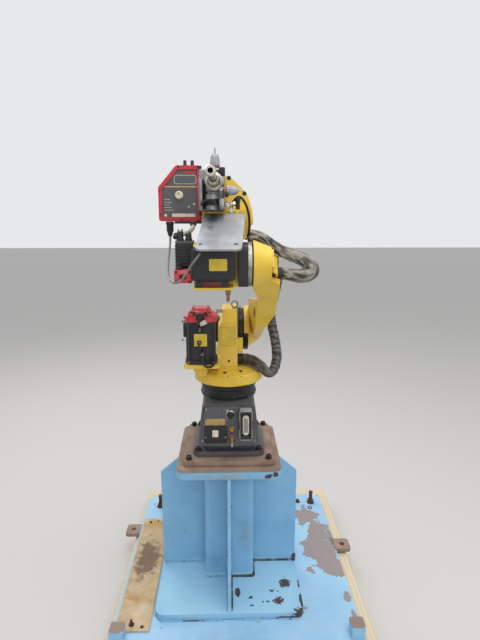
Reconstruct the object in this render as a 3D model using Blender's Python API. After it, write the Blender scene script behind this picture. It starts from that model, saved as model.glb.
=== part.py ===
# Six-axis arc-welding robot on a welded steel stand, a floor plate and a timber skid.
# Metres, +Z up, origin on the ground below the turning axis of the robot, front towards +Y.
import math

import bmesh
import bpy
from mathutils import Matrix, Vector

# Clearances
gap = 0.0003
overrun = 0.01
running_gap = 0.0006

# Skid of sawn timber
timber_width = 0.089
timber_height = 0.089
timber_overhang_left = 0.021
timber_overhang_right = 0.05
timber_overhang_near = 0.034
timber_overhang_far = 0.095
timber_edge = 0.004

# Floor plate and what is welded to it
floor_plate_width = 0.94
floor_plate_depth = 1.106
floor_plate_thickness = 0.025
floor_plate_shift_x = 0.03
floor_plate_shift_y = 0.003
floor_plate_corner = 0.045
anchor_tab_reach = 0.07
anchor_tab_width = 0.075
anchor_tab_thickness = 0.016
anchor_tab_corner = 0.012
anchor_hole_radius = 0.0125
anchor_tab_left_y = 0.268
anchor_tab_right_y = 0.132
corner_post_size = 0.052
corner_post_height = 0.05
corner_post_edge = 0.006
corner_post_inset_side = 0.0275
corner_post_y = -0.374
bare_strip_margin = 0.0125
bare_strip_length = 0.69
bare_strip_thickness = 0.006
bare_strip_inset = 0.009
bare_strip_y = -0.003
bare_strip_corner = 0.03
bare_strip_hole_radius = 0.007
bare_strip_hole_inset = 0.035
levelling_stud_radius = 0.01
levelling_stud_height = 0.068
levelling_nut_across = 0.03
levelling_nut_height = 0.018
levelling_washer_radius = 0.02
levelling_washer_height = 0.004
levelling_inset_left = (0.072, 0.098)
levelling_inset_right = (0.056, 0.08)

# Welded stand
stand_base_width = 0.577
stand_base_depth = 0.6
stand_base_thickness = 0.028
stand_base_corner = 0.035
stand_column_width = 0.203
stand_column_corner = 0.022
stand_column_height = 0.506
stand_wing_thickness = 0.012
stand_wing_drop = 0.073
stand_gusset_thickness = 0.013
stand_gusset_inset = 0.006
stand_top_width = 0.406
stand_top_thickness = 0.03
stand_top_corner = 0.028
riser_plate_width = 0.404
riser_plate_thickness = 0.012
adapter_plate_width = 0.356
adapter_plate_thickness = 0.022
adapter_plate_corner = 0.018

# Robot base, heights from the underside of its flange
flange_width = 0.283
flange_thickness = 0.02
flange_corner = 0.03
flange_waist = 0.05
base_foot_width = 0.225
base_foot_corner = 0.04
base_neck_radius = 0.104
base_height = 0.22
base_rear_reach = 0.155
base_panel_low = 0.052
base_panel_high = 0.2197
base_panel_low_width = 0.241
base_panel_high_width = 0.201
base_panel_depth = 0.07
panel_plate_thickness = 0.006
panel_plate_margin = 0.012
panel_plate_top_margin = 0.005
power_socket_width = 0.045
power_socket_height = 0.118
power_socket_depth = 0.034
power_socket_x = 0.0645
power_socket_z = 0.1515
power_socket_lip = 0.006
base_ring_radius = 0.112
base_ring_height = 0.051
base_ring_groove = 0.004
base_ring_flat = 0.012

# Swivel casting
swivel_boss_radius = 0.104
swivel_boss_height = 0.01
swivel_disc_radius = 0.139
swivel_disc_flat = 0.134
swivel_disc_height = 0.044
swivel_disc_edge = 0.007
swivel_crown_radius = 0.1
swivel_crown_height = 0.008
column_left = -0.041
column_right = 0.0365
column_foot_spread = 0.022
column_foot_height = 0.055
column_rear_foot_y = -0.034
column_rear_y = -0.02
column_shoulder_y = 0.004
column_front_foot_y = 0.118
column_top = 0.556
column_shoulder_height = 0.048
column_top_left = -0.025
column_top_rear_y = 0.03
column_top_front_y = 0.13
column_boss_radius = 0.104
column_boss_start = 78.0
column_boss_end = -62.0
column_lug_reach = 0.022
column_lug_low = 0.383
column_lug_high = 0.443
column_lug_half = 0.012
shelf_left = -0.166
shelf_right = -0.03
shelf_rear_y = -0.176
shelf_front_y = -0.02
shelf_top = 0.383
shelf_thickness = 0.014
shelf_root_left = -0.126
shelf_root_top_left = -0.15
shelf_root_right = -0.078
shelf_root_rear_y = -0.112
shelf_corner = 0.02

# Motors on the swivel
j1_motor_x = -0.101
j1_motor_y = -0.11
j1_motor_width = 0.118
j1_motor_corner = 0.028
j1_motor_flange_height = 0.014
j1_motor_height = 0.159
j1_motor_waist = 0.006
j1_cap_height = 0.021
j1_cap_top_height = 0.027
j1_cap_top_width = 0.0845
j1_cap_tip_width = 0.0655
j1_cap_corner = 0.024
j2_motor_length = 0.11
j2_motor_width = 0.104
j2_motor_corner = 0.02
j2_motor_flange = 0.012
j2_cap_length = 0.04
j2_cap_width = 0.07
j2_ring_radius = 0.093
j2_ring_length = 0.0279
j2_ring_groove = 0.004

# Lifting eyes
eye_ring_radius = 0.0125
eye_wire_radius = 0.0035
eye_collar_radius = 0.0095
eye_collar_height = 0.005
eye_neck_radius = 0.0055
eye_swivel_x = -0.053
eye_swivel_y = -0.07
eye_top_x = 0.026
eye_top_y = 0.052

# Lower arm, along its own Z from the shoulder axis to the elbow axis
shoulder_y = 0.15
shoulder_z = 0.45
lower_arm_length = 0.606
lower_arm_lean = 58.07
shoulder_flange_inner = 0.0653
shoulder_flange_width = 0.0177
shoulder_flange_radius = 0.091
shoulder_hub_radius = 0.078
shoulder_hub_end_radius = 0.048
shoulder_hub_outer = 0.13
elbow_hub_radius = 0.074
elbow_hub_end_radius = 0.0535
elbow_hub_inner = 0.0775
elbow_hub_outer = 0.135
elbow_hub_rim = 0.005
beam_root_half = 0.046
beam_low_half = 0.074
beam_low_z = 0.22
beam_high_half = 0.058
beam_high_z = 0.35
beam_tip_half = 0.05
beam_inner_profile = ((0.0833, 0.42), (0.0991, 0.475), (elbow_hub_inner, 0.548))
beam_outer_profile = (
    (elbow_hub_outer, 0.585),
    (0.166, 0.562),
    (0.168, 0.527),
    (0.172, 0.326),
    (0.141, 0.199),
    (0.135, 0.04),
)
flange_cap_radius = 0.098
flange_cap_root = 0.088
lobe_bevel_start = (0.083, 0.06)
lobe_bevel_end = (0.107, -0.088)
lobe_bevel_low = 0.085
lobe_bevel_high = 0.455
bow_cut_outline = ((-0.068, 0.475), (0.09, 0.125), (0.09, 0.56))
bow_cut_end = 0.115
arm_pocket_radius = 0.012
arm_pocket_height = 0.055
arm_pocket_z = 0.25
arm_pocket_y = -0.035
arm_pocket_end = 0.118
arm_channel_half = 0.032
arm_channel_floor = (
    (0.124, 0.17),
    (0.1255, 0.262),
    (0.139, 0.326),
    (0.1365, 0.4),
    (0.1353, 0.6),
)
bracket_thickness = 0.006
bracket_width = 0.06
bracket_stand_off = 0.016
bracket_low = 0.546
bracket_bend = 0.612
bracket_high = 0.648
bracket_lip = 0.045

# Elbow housing, from the elbow axis, which is parallel to the ground and to X. What the
# housing carries is measured from a level that lies a little below that axis.
head_drop = 0.0115
elbow_ring_radius = 0.07
elbow_ring_left = 0.0613
elbow_ring_length = 0.0156
side_plate_left = 0.0323
side_plate_thickness = 0.0285
side_plate_radius = 0.066
side_plate_corner = 0.02
housing_left = -0.105
housing_right = 0.032
housing_rear_y = -0.036
housing_front_y = 0.072
housing_low = -0.059
housing_high = 0.078
housing_corner = 0.02
ledge_thickness = 0.007
ledge_rear_y = -0.086
ledge_left = -0.102
ledge_right = 0.016
neck_left = -0.08
neck_right = 0.064
neck_rear_y = 0.02
neck_front_y = 0.186
neck_corner = 0.015
roll_axis_z = 0.2
roll_head_rear_y = 0.064
roll_head_front_y = 0.2
roll_head_side = (
    (neck_right, 0.12),
    (0.0823, 0.135),
    (0.0823, 0.144),
    (0.0773, 0.1828),
    (0.0621, 0.2305),
    (0.0057, 0.2833),
)
neck_front_drop = 0.04
roll_collar_radius = 0.064
roll_collar_length = 0.012

# Drive cover and motors at the elbow
drive_cover_left = -0.109
drive_cover_right = 0.023
drive_cover_low = -0.0315
drive_cover_high = 0.068
drive_cover_rear_y = -0.096
drive_cover_corner = 0.01
drive_cover_rim = 0.008
wrist_motor_left = -0.1605
wrist_motor_half = 0.0275
wrist_motor_low = 0.0006
wrist_motor_high = 0.085
wrist_motor_corner = 0.01
drive_cap_low = -0.04
drive_cap_near_y = -0.0785
drive_cap_far_y = -0.0255
drive_cap_corner = 0.01
lower_motor_left = -0.096
lower_motor_right = -0.0
lower_motor_rear_y = -0.084
lower_motor_corner = 0.007

# Feeder: plate, drive, inlet, knobs and control box
feeder_plate_width = 0.128
feeder_plate_length = 0.237
feeder_plate_thickness = 0.006
feeder_plate_slope = 24.5
feeder_plate_corner = 0.014
feeder_plate_x = -0.0264
feeder_plate_skew = 0.018
feeder_plate_low_y = -0.196
feeder_plate_low_z = 0.063
feeder_plate_hole_radius = 0.006
feeder_plate_hole_inset = 0.03
feeder_bracket_width = 0.05
feeder_bracket_reach = 0.065
feeder_bracket_tip = 0.012
feeder_bracket_drop = 0.07
drive_unit_left = -0.086
drive_unit_right = -0.009
drive_unit_low = 0.174
drive_unit_high = 0.298
drive_unit_rear_y = -0.045
drive_unit_corner = 0.012
inlet_x = -0.04
inlet_z = 0.258
inlet_flange_radius = 0.024
inlet_flange_length = 0.012
inlet_body_radius = 0.015
inlet_tube_radius = 0.0085
inlet_bore_radius = 0.0045
inlet_nut_radius = 0.011
inlet_nut_length = 0.018
inlet_length = 0.3
inlet_bore_depth = 0.05
inlet_body_length = 0.05
knob_base_radius = 0.0152
knob_top_radius = 0.0105
knob_height = 0.04
knob_pin_radius = 0.003
knob_pin_height = 0.018
knob_left_x = -0.037
knob_right_z = 0.28
knob_y = -0.02
control_box_left = -0.238
control_box_right = -0.0905
control_box_low = 0.144
control_box_high = 0.33
control_box_rear_y = 0.194
control_box_depth = 0.2
control_box_chamfer_x = 0.062
control_box_chamfer_z = 0.072
control_box_corner = 0.008
control_recess = 0.006
control_frame = 0.013
box_bracket_near = 0.08
box_bracket_far = 0.05
box_bracket_thickness = 0.008
socket_radius = 0.014
socket_waist_radius = 0.0112
socket_end_radius = 0.007
socket_length = 0.05
socket_x = -0.199
socket_y = 0.18
socket_z = 0.118

# Forearm, wrist and torch
forearm_flange_radius = 0.062
forearm_flange_length = 0.03
forearm_root_radius = 0.055
forearm_tip_radius = 0.046
forearm_waist = 0.12
wrist_reach = 0.85
fork_length = 0.105
fork_end_radius = 0.04
fork_half_width = 0.05
fork_cheek = 0.013
fork_throat = 0.088
fork_end_angle = 75.0
wrist_radius = 0.034
wrist_neck_radius = 0.03
wrist_drop = 0.07
tool_flange_radius = 0.031
tool_flange_length = 0.014
torch_clamp_width = 0.048
torch_clamp_height = 0.06
torch_clamp_corner = 0.008
torch_body_radius = 0.017
torch_body_length = 0.13
torch_neck_radius = 0.011
torch_bend = 22.0
torch_bend_radius = 0.09
torch_neck_run = 0.03
nozzle_root_radius = 0.018
nozzle_shoulder_radius = 0.0125
nozzle_tip_radius = 0.009
nozzle_cone_length = 0.054
nozzle_tip_length = 0.038
nozzle_bore_radius = 0.006
nozzle_bore_depth = 0.03

# Flexible bundles and the signal cable, whose routes are chosen by hand
lower_bundle_radius = 0.0205
lower_bundle_route = (
    (0.0371, -0.004, 0.3585),
    (0.0592, -0.004, 0.3585),
    (0.0772, -0.012, 0.3592),
    (0.0944, -0.028, 0.3588),
    (0.1096, -0.045, 0.355),
    (0.1245, -0.062, 0.3482),
    (0.1394, -0.075, 0.3345),
    (0.1529, -0.08, 0.3245),
    (0.1695, -0.07, 0.3214),
    (0.183, -0.055, 0.3352),
    (0.191, -0.04, 0.3575),
    (0.1936, -0.03, 0.3794),
    (0.1905, -0.01, 0.4197),
    (0.1835, 0.005, 0.4616),
    (0.1765, 0.0165, 0.4957),
    (0.1735, 0.0177, 0.517),
    (0.1695, 0.0095, 0.5337),
    (0.1625, -0.0053, 0.5468),
    (0.1545, -0.0223, 0.5574),
    (0.1495, -0.0384, 0.5674),
    (0.149, -0.0533, 0.5767),
    (0.1524, -0.0717, 0.5881),
)
arm_bundle_radius = 0.018
arm_bundle_route = (
    (0.1525, 0.0, 0.262),
    (0.1625, 0.0, 0.326),
    (0.161, 0.0, 0.4),
    (0.16, 0.0, 0.48),
    (0.1615, 0.0, 0.534),
)
upper_bundle_radius = 0.0195
upper_bundle_route = (
    (0.158, 0.0339, -0.022),
    (0.183, 0.0339, -0.022),
    (0.2, 0.0305, -0.025),
    (0.2245, 0.022, -0.0288),
    (0.253, 0.018, -0.0262),
    (0.2706, 0.02, -0.0111),
    (0.263, 0.026, 0.0076),
    (0.2381, 0.034, 0.0246),
    (0.2066, 0.042, 0.0369),
    (0.1717, 0.05, 0.054),
    (0.1363, 0.055, 0.0765),
    (0.1095, 0.047, 0.0985),
    (0.0875, 0.0425, 0.107),
    (0.0649, 0.0425, 0.107),
)
signal_cable_radius = 0.0035
signal_cable_route = (
    (-0.199, 0.18, 0.0926),
    (-0.1993, 0.178, 0.076),
    (-0.2, 0.162, 0.05),
    (-0.2, 0.12, 0.018),
    (-0.195, 0.06, -0.0136),
    (-0.1865, 0.004, -0.032),
    (-0.1755, -0.053, -0.0325),
    (-0.1577, -0.103, -0.034),
    (-0.1397, -0.1125, -0.029),
    (-0.123, -0.1145, -0.008),
    (-0.106, -0.1155, 0.018),
    (-0.092, -0.1165, 0.036),
    (-0.083, -0.111, 0.047),
    (-0.0805, -0.0967, 0.0505),
)

# Fineness of round work
ring_steps = 36
small_ring_steps = 20
corner_steps = 3
hub_steps = 12
torus_steps = 20
wire_steps = 8
bundle_sides = 3
bundle_step_share = 1.0
cable_sides = 2
cable_step_share = 2.5
loft_corner_steps = 6
base_neck_round_share = 0.95
octagon_turn = 22.5
nut_corners = 6
sharp_edge = 35.0

# Heights that follow from the stack
floor_plate_low = timber_height + gap
floor_plate_top = floor_plate_low + floor_plate_thickness
stand_low = floor_plate_top + gap
stand_base_top = stand_low + stand_base_thickness
stand_column_low = stand_base_top + gap
stand_column_top = stand_column_low + stand_column_height
stand_top_low = stand_column_top + gap
stand_top_high = stand_top_low + stand_top_thickness
riser_low = stand_top_high + gap
riser_high = riser_low + riser_plate_thickness
adapter_low = riser_high + gap
adapter_high = adapter_low + adapter_plate_thickness
robot_z = adapter_high + gap

plate_left = floor_plate_shift_x - floor_plate_width / 2
plate_right = floor_plate_shift_x + floor_plate_width / 2
plate_near = floor_plate_shift_y - floor_plate_depth / 2
plate_far = floor_plate_shift_y + floor_plate_depth / 2

# Heights in the robot, from the underside of its flange
base_ring_low = base_height + gap
base_ring_top = base_ring_low + base_ring_height
swivel_low = base_ring_top + running_gap
swivel_rim_low = swivel_low + swivel_boss_height
swivel_rim_top = swivel_rim_low + swivel_disc_height
swivel_crown_top = swivel_rim_top + swivel_crown_height


# Placing and joining


def pivot(name, location, tilt=0.0, parent=None):
    empty = bpy.data.objects.new(name, None)
    empty.empty_display_type = "ARROWS"
    bpy.context.scene.collection.objects.link(empty)
    empty.parent = parent
    empty.location = location
    empty.rotation_euler = (math.radians(tilt), 0.0, 0.0)
    return empty


def colour(name, red, green, blue, roughness, metallic=0.0):
    made = bpy.data.materials.new(name)
    made.use_nodes = True
    surface = made.node_tree.nodes["Principled BSDF"]
    surface.inputs["Base Color"].default_value = (red, green, blue, 1.0)
    surface.inputs["Roughness"].default_value = roughness
    surface.inputs["Metallic"].default_value = metallic
    return made


def finish(name, mesh, parent=None, material=None):
    bmesh.ops.recalc_face_normals(mesh, faces=mesh.faces)
    data = bpy.data.meshes.new(name)
    mesh.to_mesh(data)
    mesh.free()
    data.shade_smooth()
    data.set_sharp_from_angle(angle=math.radians(sharp_edge))
    made = bpy.data.objects.new(name, data)
    bpy.context.scene.collection.objects.link(made)
    made.parent = parent
    if material:
        data.materials.append(material)
    return made


def combine(target, operation, *others):
    for other in others:
        modifier = target.modifiers.new(other.name, "BOOLEAN")
        modifier.operation = operation
        modifier.solver = "EXACT"
        modifier.object = other
        other.hide_render = True
        other.display_type = "WIRE"
    return target


def cut(target, *cutters):
    return combine(target, "DIFFERENCE", *cutters)


def weld(target, *others):
    return combine(target, "UNION", *others)


def keep_inside(target, *others):
    return combine(target, "INTERSECT", *others)


# Outlines


def rounded(corners, radii, steps=corner_steps):
    count = len(corners)
    if isinstance(radii, (int, float)):
        radii = [radii] * count
    outline = []
    for i, (corner, radius) in enumerate(zip(corners, radii)):
        here = Vector(corner)
        if radius == 0:
            outline.append(here)
            continue
        before = (Vector(corners[i - 1]) - here).normalized()
        after = (Vector(corners[(i + 1) % count]) - here).normalized()
        half = before.angle(after) / 2
        reach = radius / math.tan(half)
        centre = here + (before + after).normalized() * radius / math.sin(half)
        first = here + before * reach - centre
        last = here + after * reach - centre
        turn = first.angle_signed(last)
        for step in range(steps + 1):
            outline.append(centre + Matrix.Rotation(-turn * step / steps, 2) @ first)
    return [tuple(point) for point in outline]


def rectangle(low_a, high_a, low_b, high_b, radius=0.0, steps=corner_steps):
    corners = [(low_a, low_b), (high_a, low_b), (high_a, high_b), (low_a, high_b)]
    return rounded(corners, radius, steps)


def square(width, radius, steps=corner_steps):
    return rectangle(-width / 2, width / 2, -width / 2, width / 2, radius, steps)


def arc(centre, radius, start, end, steps):
    points = []
    for step in range(steps + 1):
        angle = math.radians(start + (end - start) * step / steps)
        points.append((centre[0] + radius * math.cos(angle), centre[1] + radius * math.sin(angle)))
    return points


# Solids


def along(axis, a, b, height):
    if axis == "X":
        return (height, a, b)
    if axis == "Y":
        return (a, height, b)
    return (a, b, height)


def prism(name, outline, low, high, axis, parent=None, material=None):
    mesh = bmesh.new()
    corners = [mesh.verts.new(along(axis, a, b, low)) for a, b in outline]
    face = mesh.faces.new(corners)
    grown = bmesh.ops.extrude_face_region(mesh, geom=[face])
    moved = [v for v in grown["geom"] if isinstance(v, bmesh.types.BMVert)]
    bmesh.ops.translate(mesh, verts=moved, vec=along(axis, 0.0, 0.0, high - low))
    return finish(name, mesh, parent, material)


def loft(name, sections, parent=None, material=None):
    mesh = bmesh.new()
    rings = [[mesh.verts.new(point) for point in section] for section in sections]
    count = len(rings[0])
    mesh.faces.new(rings[0])
    mesh.faces.new(rings[-1])
    for lower, upper in zip(rings, rings[1:]):
        for i in range(count):
            j = (i + 1) % count
            mesh.faces.new((lower[i], lower[j], upper[j], upper[i]))
    return finish(name, mesh, parent, material)


def turned(name, profile, axis, centre, steps, parent=None, material=None, closed=False):
    mesh = bmesh.new()
    rings = []
    for radius, height in profile:
        count = steps if radius > 0 else 1
        ring = []
        for i in range(count):
            angle = math.tau * i / steps
            local = along(axis, radius * math.cos(angle), radius * math.sin(angle), height)
            ring.append(mesh.verts.new(Vector(centre) + Vector(local)))
        rings.append(ring)
    pairs = list(zip(rings, rings[1:]))
    if closed:
        pairs.append((rings[-1], rings[0]))
    for first, second in pairs:
        for i in range(steps):
            j = (i + 1) % steps
            corners = [first[i % len(first)], first[j % len(first)]]
            corners += [second[j % len(second)], second[i % len(second)]]
            mesh.faces.new(dict.fromkeys(corners))
    return finish(name, mesh, parent, material)


def disc(name, radius, low, high, axis, centre, parent=None, material=None, steps=small_ring_steps):
    profile = [(0.0, low), (radius, low), (radius, high), (0.0, high)]
    return turned(name, profile, axis, centre, steps, parent, material)


def smooth_route(points, spacing):
    # A curve through the given points, read again at even steps
    dense = []
    ends = [points[0]] + list(points) + [points[-1]]
    fine = 12
    for before, start, end, after in zip(ends, ends[1:], ends[2:], ends[3:]):
        p0, p1, p2, p3 = (Vector(p) for p in (before, start, end, after))
        for step in range(fine):
            t = step / fine
            point = (p2 - p0) * t + (2 * p0 - 5 * p1 + 4 * p2 - p3) * t**2
            dense.append(p1 + (point + (3 * p1 - p0 - 3 * p2 + p3) * t**3) / 2)
    dense.append(Vector(points[-1]))
    lengths = [0.0]
    for start, end in zip(dense, dense[1:]):
        lengths.append(lengths[-1] + (end - start).length)
    count = max(2, round(lengths[-1] / spacing))
    route = []
    place = 0
    for step in range(count + 1):
        wanted = lengths[-1] * step / count
        while place < len(dense) - 2 and lengths[place + 1] < wanted:
            place += 1
        share = (wanted - lengths[place]) / (lengths[place + 1] - lengths[place])
        route.append(dense[place].lerp(dense[place + 1], min(1.0, share)))
    return route


def tube(name, points, radius, sides, step_share, parent, material):
    data = bpy.data.curves.new(name, "CURVE")
    data.dimensions = "3D"
    data.bevel_depth = radius
    data.bevel_resolution = sides
    data.use_fill_caps = True
    spline = data.splines.new("POLY")
    route = smooth_route(points, step_share * radius)
    spline.points.add(len(route) - 1)
    for target, point in zip(spline.points, route):
        target.co = (*point, 1.0)
    made = bpy.data.objects.new(name, data)
    bpy.context.scene.collection.objects.link(made)
    made.parent = parent
    data.materials.append(material)
    return made


# Skid and floor plate


def build_skid(pine):
    left = plate_left - timber_overhang_left
    right = plate_right + timber_overhang_right
    near = plate_near - timber_overhang_near
    far = plate_far + timber_overhang_far
    inner_near = near + timber_width + gap
    inner_far = far - timber_width - gap
    for name, start in (("left", left), ("right", right - timber_width), ("middle", -timber_width / 2)):
        outline = rectangle(start, start + timber_width, 0.0, timber_height, timber_edge, 1)
        prism(f"skid_timber_{name}", outline, inner_near, inner_far, "Y", None, pine)
    for name, start in (("near", near), ("far", far - timber_width)):
        outline = rectangle(start, start + timber_width, 0.0, timber_height, timber_edge, 1)
        prism(f"skid_timber_{name}", outline, left, right, "X", None, pine)


def build_floor_plate(blue, rust):
    corners = [(plate_left, plate_near), (plate_right, plate_near)]
    corners += [(plate_right, plate_far), (plate_left, plate_far)]
    outline = rounded(corners, [0.0, 0.0, floor_plate_corner, floor_plate_corner])
    plate = prism("floor_plate", outline, floor_plate_low, floor_plate_top, "Z", None, blue)
    places = (("left", -1, plate_left, anchor_tab_left_y), ("right", 1, plate_right, anchor_tab_right_y))
    for side, way, edge, middle in places:
        inner = edge + way * gap
        outer = inner + way * anchor_tab_reach
        low = middle - anchor_tab_width / 2
        high = middle + anchor_tab_width / 2
        corners = [(inner, low), (outer, low), (outer, high), (inner, high)]
        outline = rounded(corners, [0.0, anchor_tab_corner, anchor_tab_corner, 0.0])
        bottom = floor_plate_top - anchor_tab_thickness
        tab = prism(f"anchor_tab_{side}", outline, bottom, floor_plate_top, "Z", None, rust)
        centre = ((inner + outer) / 2, middle, 0.0)
        top = floor_plate_top + overrun
        cut(tab, disc(f"anchor_hole_{side}", anchor_hole_radius, bottom - overrun, top, "Z", centre))
    left_post = plate_left + corner_post_inset_side
    right_post = plate_right - corner_post_inset_side
    for side, middle in (("left", left_post), ("right", right_post)):
        half = corner_post_size / 2
        near = corner_post_y - half
        outline = rectangle(middle - half, middle + half, near, near + corner_post_size, corner_post_edge)
        low = floor_plate_top - floor_plate_thickness / 2
        weld(plate, prism(f"corner_post_{side}", outline, low, floor_plate_top + corner_post_height, "Z"))


def build_bare_strip(rust):
    left = plate_left + bare_strip_inset
    right = -stand_base_width / 2 - bare_strip_margin
    near = bare_strip_y - bare_strip_length / 2
    far = bare_strip_y + bare_strip_length / 2
    corners = [(left, near), (right, near), (right, far), (left, far)]
    low = floor_plate_top + gap
    high = low + bare_strip_thickness
    outline = rounded(corners, [bare_strip_corner, 0.0, 0.0, 0.0])
    strip = prism("bare_strip", outline, low, high, "Z", None, rust)
    holes = []
    for i, x in enumerate((left + bare_strip_hole_inset, right - bare_strip_hole_inset)):
        centre = (x, far - bare_strip_hole_inset, 0.0)
        name = f"bare_strip_hole_{i}"
        holes.append(disc(name, bare_strip_hole_radius, low - overrun, high + overrun, "Z", centre))
    cut(strip, *holes)


def build_levelling_bolts(steel):
    low = floor_plate_top + gap
    nut_low = low + levelling_washer_height
    nut_high = nut_low + levelling_nut_height
    inset_x, inset_y = levelling_inset_left
    left = (plate_left + inset_x, plate_far - inset_y)
    inset_x, inset_y = levelling_inset_right
    right = (plate_right - inset_x, plate_far - inset_y)
    for side, (x, y) in (("left", left), ("right", right)):
        tip = levelling_stud_radius / 5
        profile = [
            (0.0, low),
            (levelling_washer_radius, low),
            (levelling_washer_radius, nut_low),
            (levelling_stud_radius, nut_low),
            (levelling_stud_radius, low + levelling_stud_height - tip),
            (levelling_stud_radius - tip, low + levelling_stud_height),
            (0.0, low + levelling_stud_height),
        ]
        bolt = turned(f"levelling_bolt_{side}", profile, "Z", (x, y, 0.0), small_ring_steps, None, steel)
        corner = levelling_nut_across / 2 / math.cos(math.pi / nut_corners)
        outline = arc((x, y), corner, 0.0, 360.0 - 360.0 / nut_corners, nut_corners - 1)
        nut = prism(f"levelling_nut_{side}", outline, nut_low - levelling_washer_height / 2, nut_high, "Z")
        weld(bolt, nut)


# Stand


def build_stand(blue, rust):
    half = stand_base_width / 2
    foot = stand_base_depth / 2
    base = rectangle(-half, half, -foot, foot, stand_base_corner)
    prism("stand_base_plate", base, stand_low, stand_base_top, "Z", None, blue)
    column = square(stand_column_width, stand_column_corner)
    prism("stand_column", column, stand_column_low, stand_column_top, "Z", None, blue)
    top = square(stand_top_width, stand_top_corner)
    prism("stand_top_plate", top, stand_top_low, stand_top_high, "Z", None, blue)
    inner = stand_column_width / 2 + gap
    for side, way in (("left", -1), ("right", 1)):
        outline = [
            (way * inner, stand_column_low),
            (way * stand_base_width / 2, stand_column_low),
            (way * stand_base_width / 2, stand_column_top - stand_wing_drop),
            (way * stand_top_width / 2, stand_column_top),
            (way * inner, stand_column_top),
        ]
        half = stand_wing_thickness / 2
        prism(f"stand_wing_{side}", outline, -half, half, "Y", None, blue)
    for side, way in (("near", -1), ("far", 1)):
        foot = stand_base_depth / 2 - stand_gusset_inset
        outline = [
            (way * inner, stand_column_low),
            (way * foot, stand_column_low),
            (way * stand_top_width / 2, stand_column_top),
            (way * inner, stand_column_top),
        ]
        half = stand_gusset_thickness / 2
        prism(f"stand_gusset_{side}", outline, -half, half, "X", None, blue)
    riser = square(riser_plate_width, stand_top_corner)
    prism("riser_plate", riser, riser_low, riser_high, "Z", None, rust)
    adapter = square(adapter_plate_width, adapter_plate_corner)
    prism("adapter_plate", adapter, adapter_low, adapter_high, "Z", None, rust)


# Robot base


def level(outline, height):
    return [(a, b, height) for a, b in outline]


def build_robot_base(base, casting, black, connector):
    outline = square(flange_width, flange_corner)
    flange = prism("robot_base", outline, 0.0, flange_thickness, "Z", base, casting)
    low = flange_thickness / 2
    waist_width = (base_foot_width + base_neck_radius * 2) / 2
    steps = loft_corner_steps
    foot = square(base_foot_width, base_foot_corner, steps)
    waist = square(waist_width, (base_foot_corner + base_neck_radius) / 2, steps)
    neck = square(base_neck_radius * 2, base_neck_radius * base_neck_round_share, steps)
    sections = [
        level(foot, low),
        level(foot, flange_waist),
        level(waist, (flange_waist + base_height) / 2),
        level(neck, base_height - flange_thickness),
        level(neck, base_height),
    ]
    body = loft("base_body", sections, base)
    low_half = base_panel_low_width / 2
    high_half = base_panel_high_width / 2
    rear = rounded(
        [
            (-low_half, base_panel_low),
            (low_half, base_panel_low),
            (high_half, base_panel_high),
            (-high_half, base_panel_high),
        ],
        base_foot_corner / 5,
        2,
    )
    box = prism("base_rear_box", rear, -base_rear_reach, base_panel_depth - base_rear_reach, "Y", base)
    weld(flange, body, box)
    margin = panel_plate_margin
    plate_top = base_panel_high - panel_plate_top_margin
    plate = rounded(
        [
            (-low_half + margin, base_panel_low + margin),
            (low_half - margin, base_panel_low + margin),
            (high_half - margin, plate_top),
            (-high_half + margin, plate_top),
        ],
        margin / 2,
        2,
    )
    plate_front = -base_rear_reach - gap
    plate_rear = plate_front - panel_plate_thickness
    prism("connector_panel", plate, plate_rear, plate_front, "Y", base, black)
    half_width = power_socket_width / 2
    half_height = power_socket_height / 2
    outer = rectangle(
        power_socket_x - half_width,
        power_socket_x + half_width,
        power_socket_z - half_height,
        power_socket_z + half_height,
        power_socket_lip,
        2,
    )
    socket_front = plate_rear - gap
    socket_rear = socket_front - power_socket_depth
    socket = prism("power_connector", outer, socket_rear, socket_front, "Y", base, connector)
    lip = power_socket_lip
    recess = rectangle(
        power_socket_x - half_width + lip,
        power_socket_x + half_width - lip,
        power_socket_z - half_height + 2 * lip,
        power_socket_z + half_height - 2 * lip,
    )
    start = socket_rear - overrun
    cut(socket, prism("power_connector_recess", recess, start, socket_rear + 2 * lip, "Y", base))
    ring_profile = [
        (base_ring_radius - base_ring_flat, base_ring_low),
        (base_ring_radius, base_ring_low),
        (base_ring_radius, base_ring_low + base_ring_flat),
        (base_ring_radius - base_ring_groove, base_ring_low + base_ring_flat + base_ring_groove),
        (base_ring_radius - base_ring_groove, base_ring_top - base_ring_flat - base_ring_groove),
        (base_ring_radius, base_ring_top - base_ring_flat),
        (base_ring_radius, base_ring_top),
    ]
    ring_profile = [(0.0, base_ring_low)] + ring_profile + [(0.0, base_ring_top)]
    turned("base_ring", ring_profile, "Z", (0.0, 0.0, 0.0), ring_steps, base, black)


# Swivel


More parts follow.
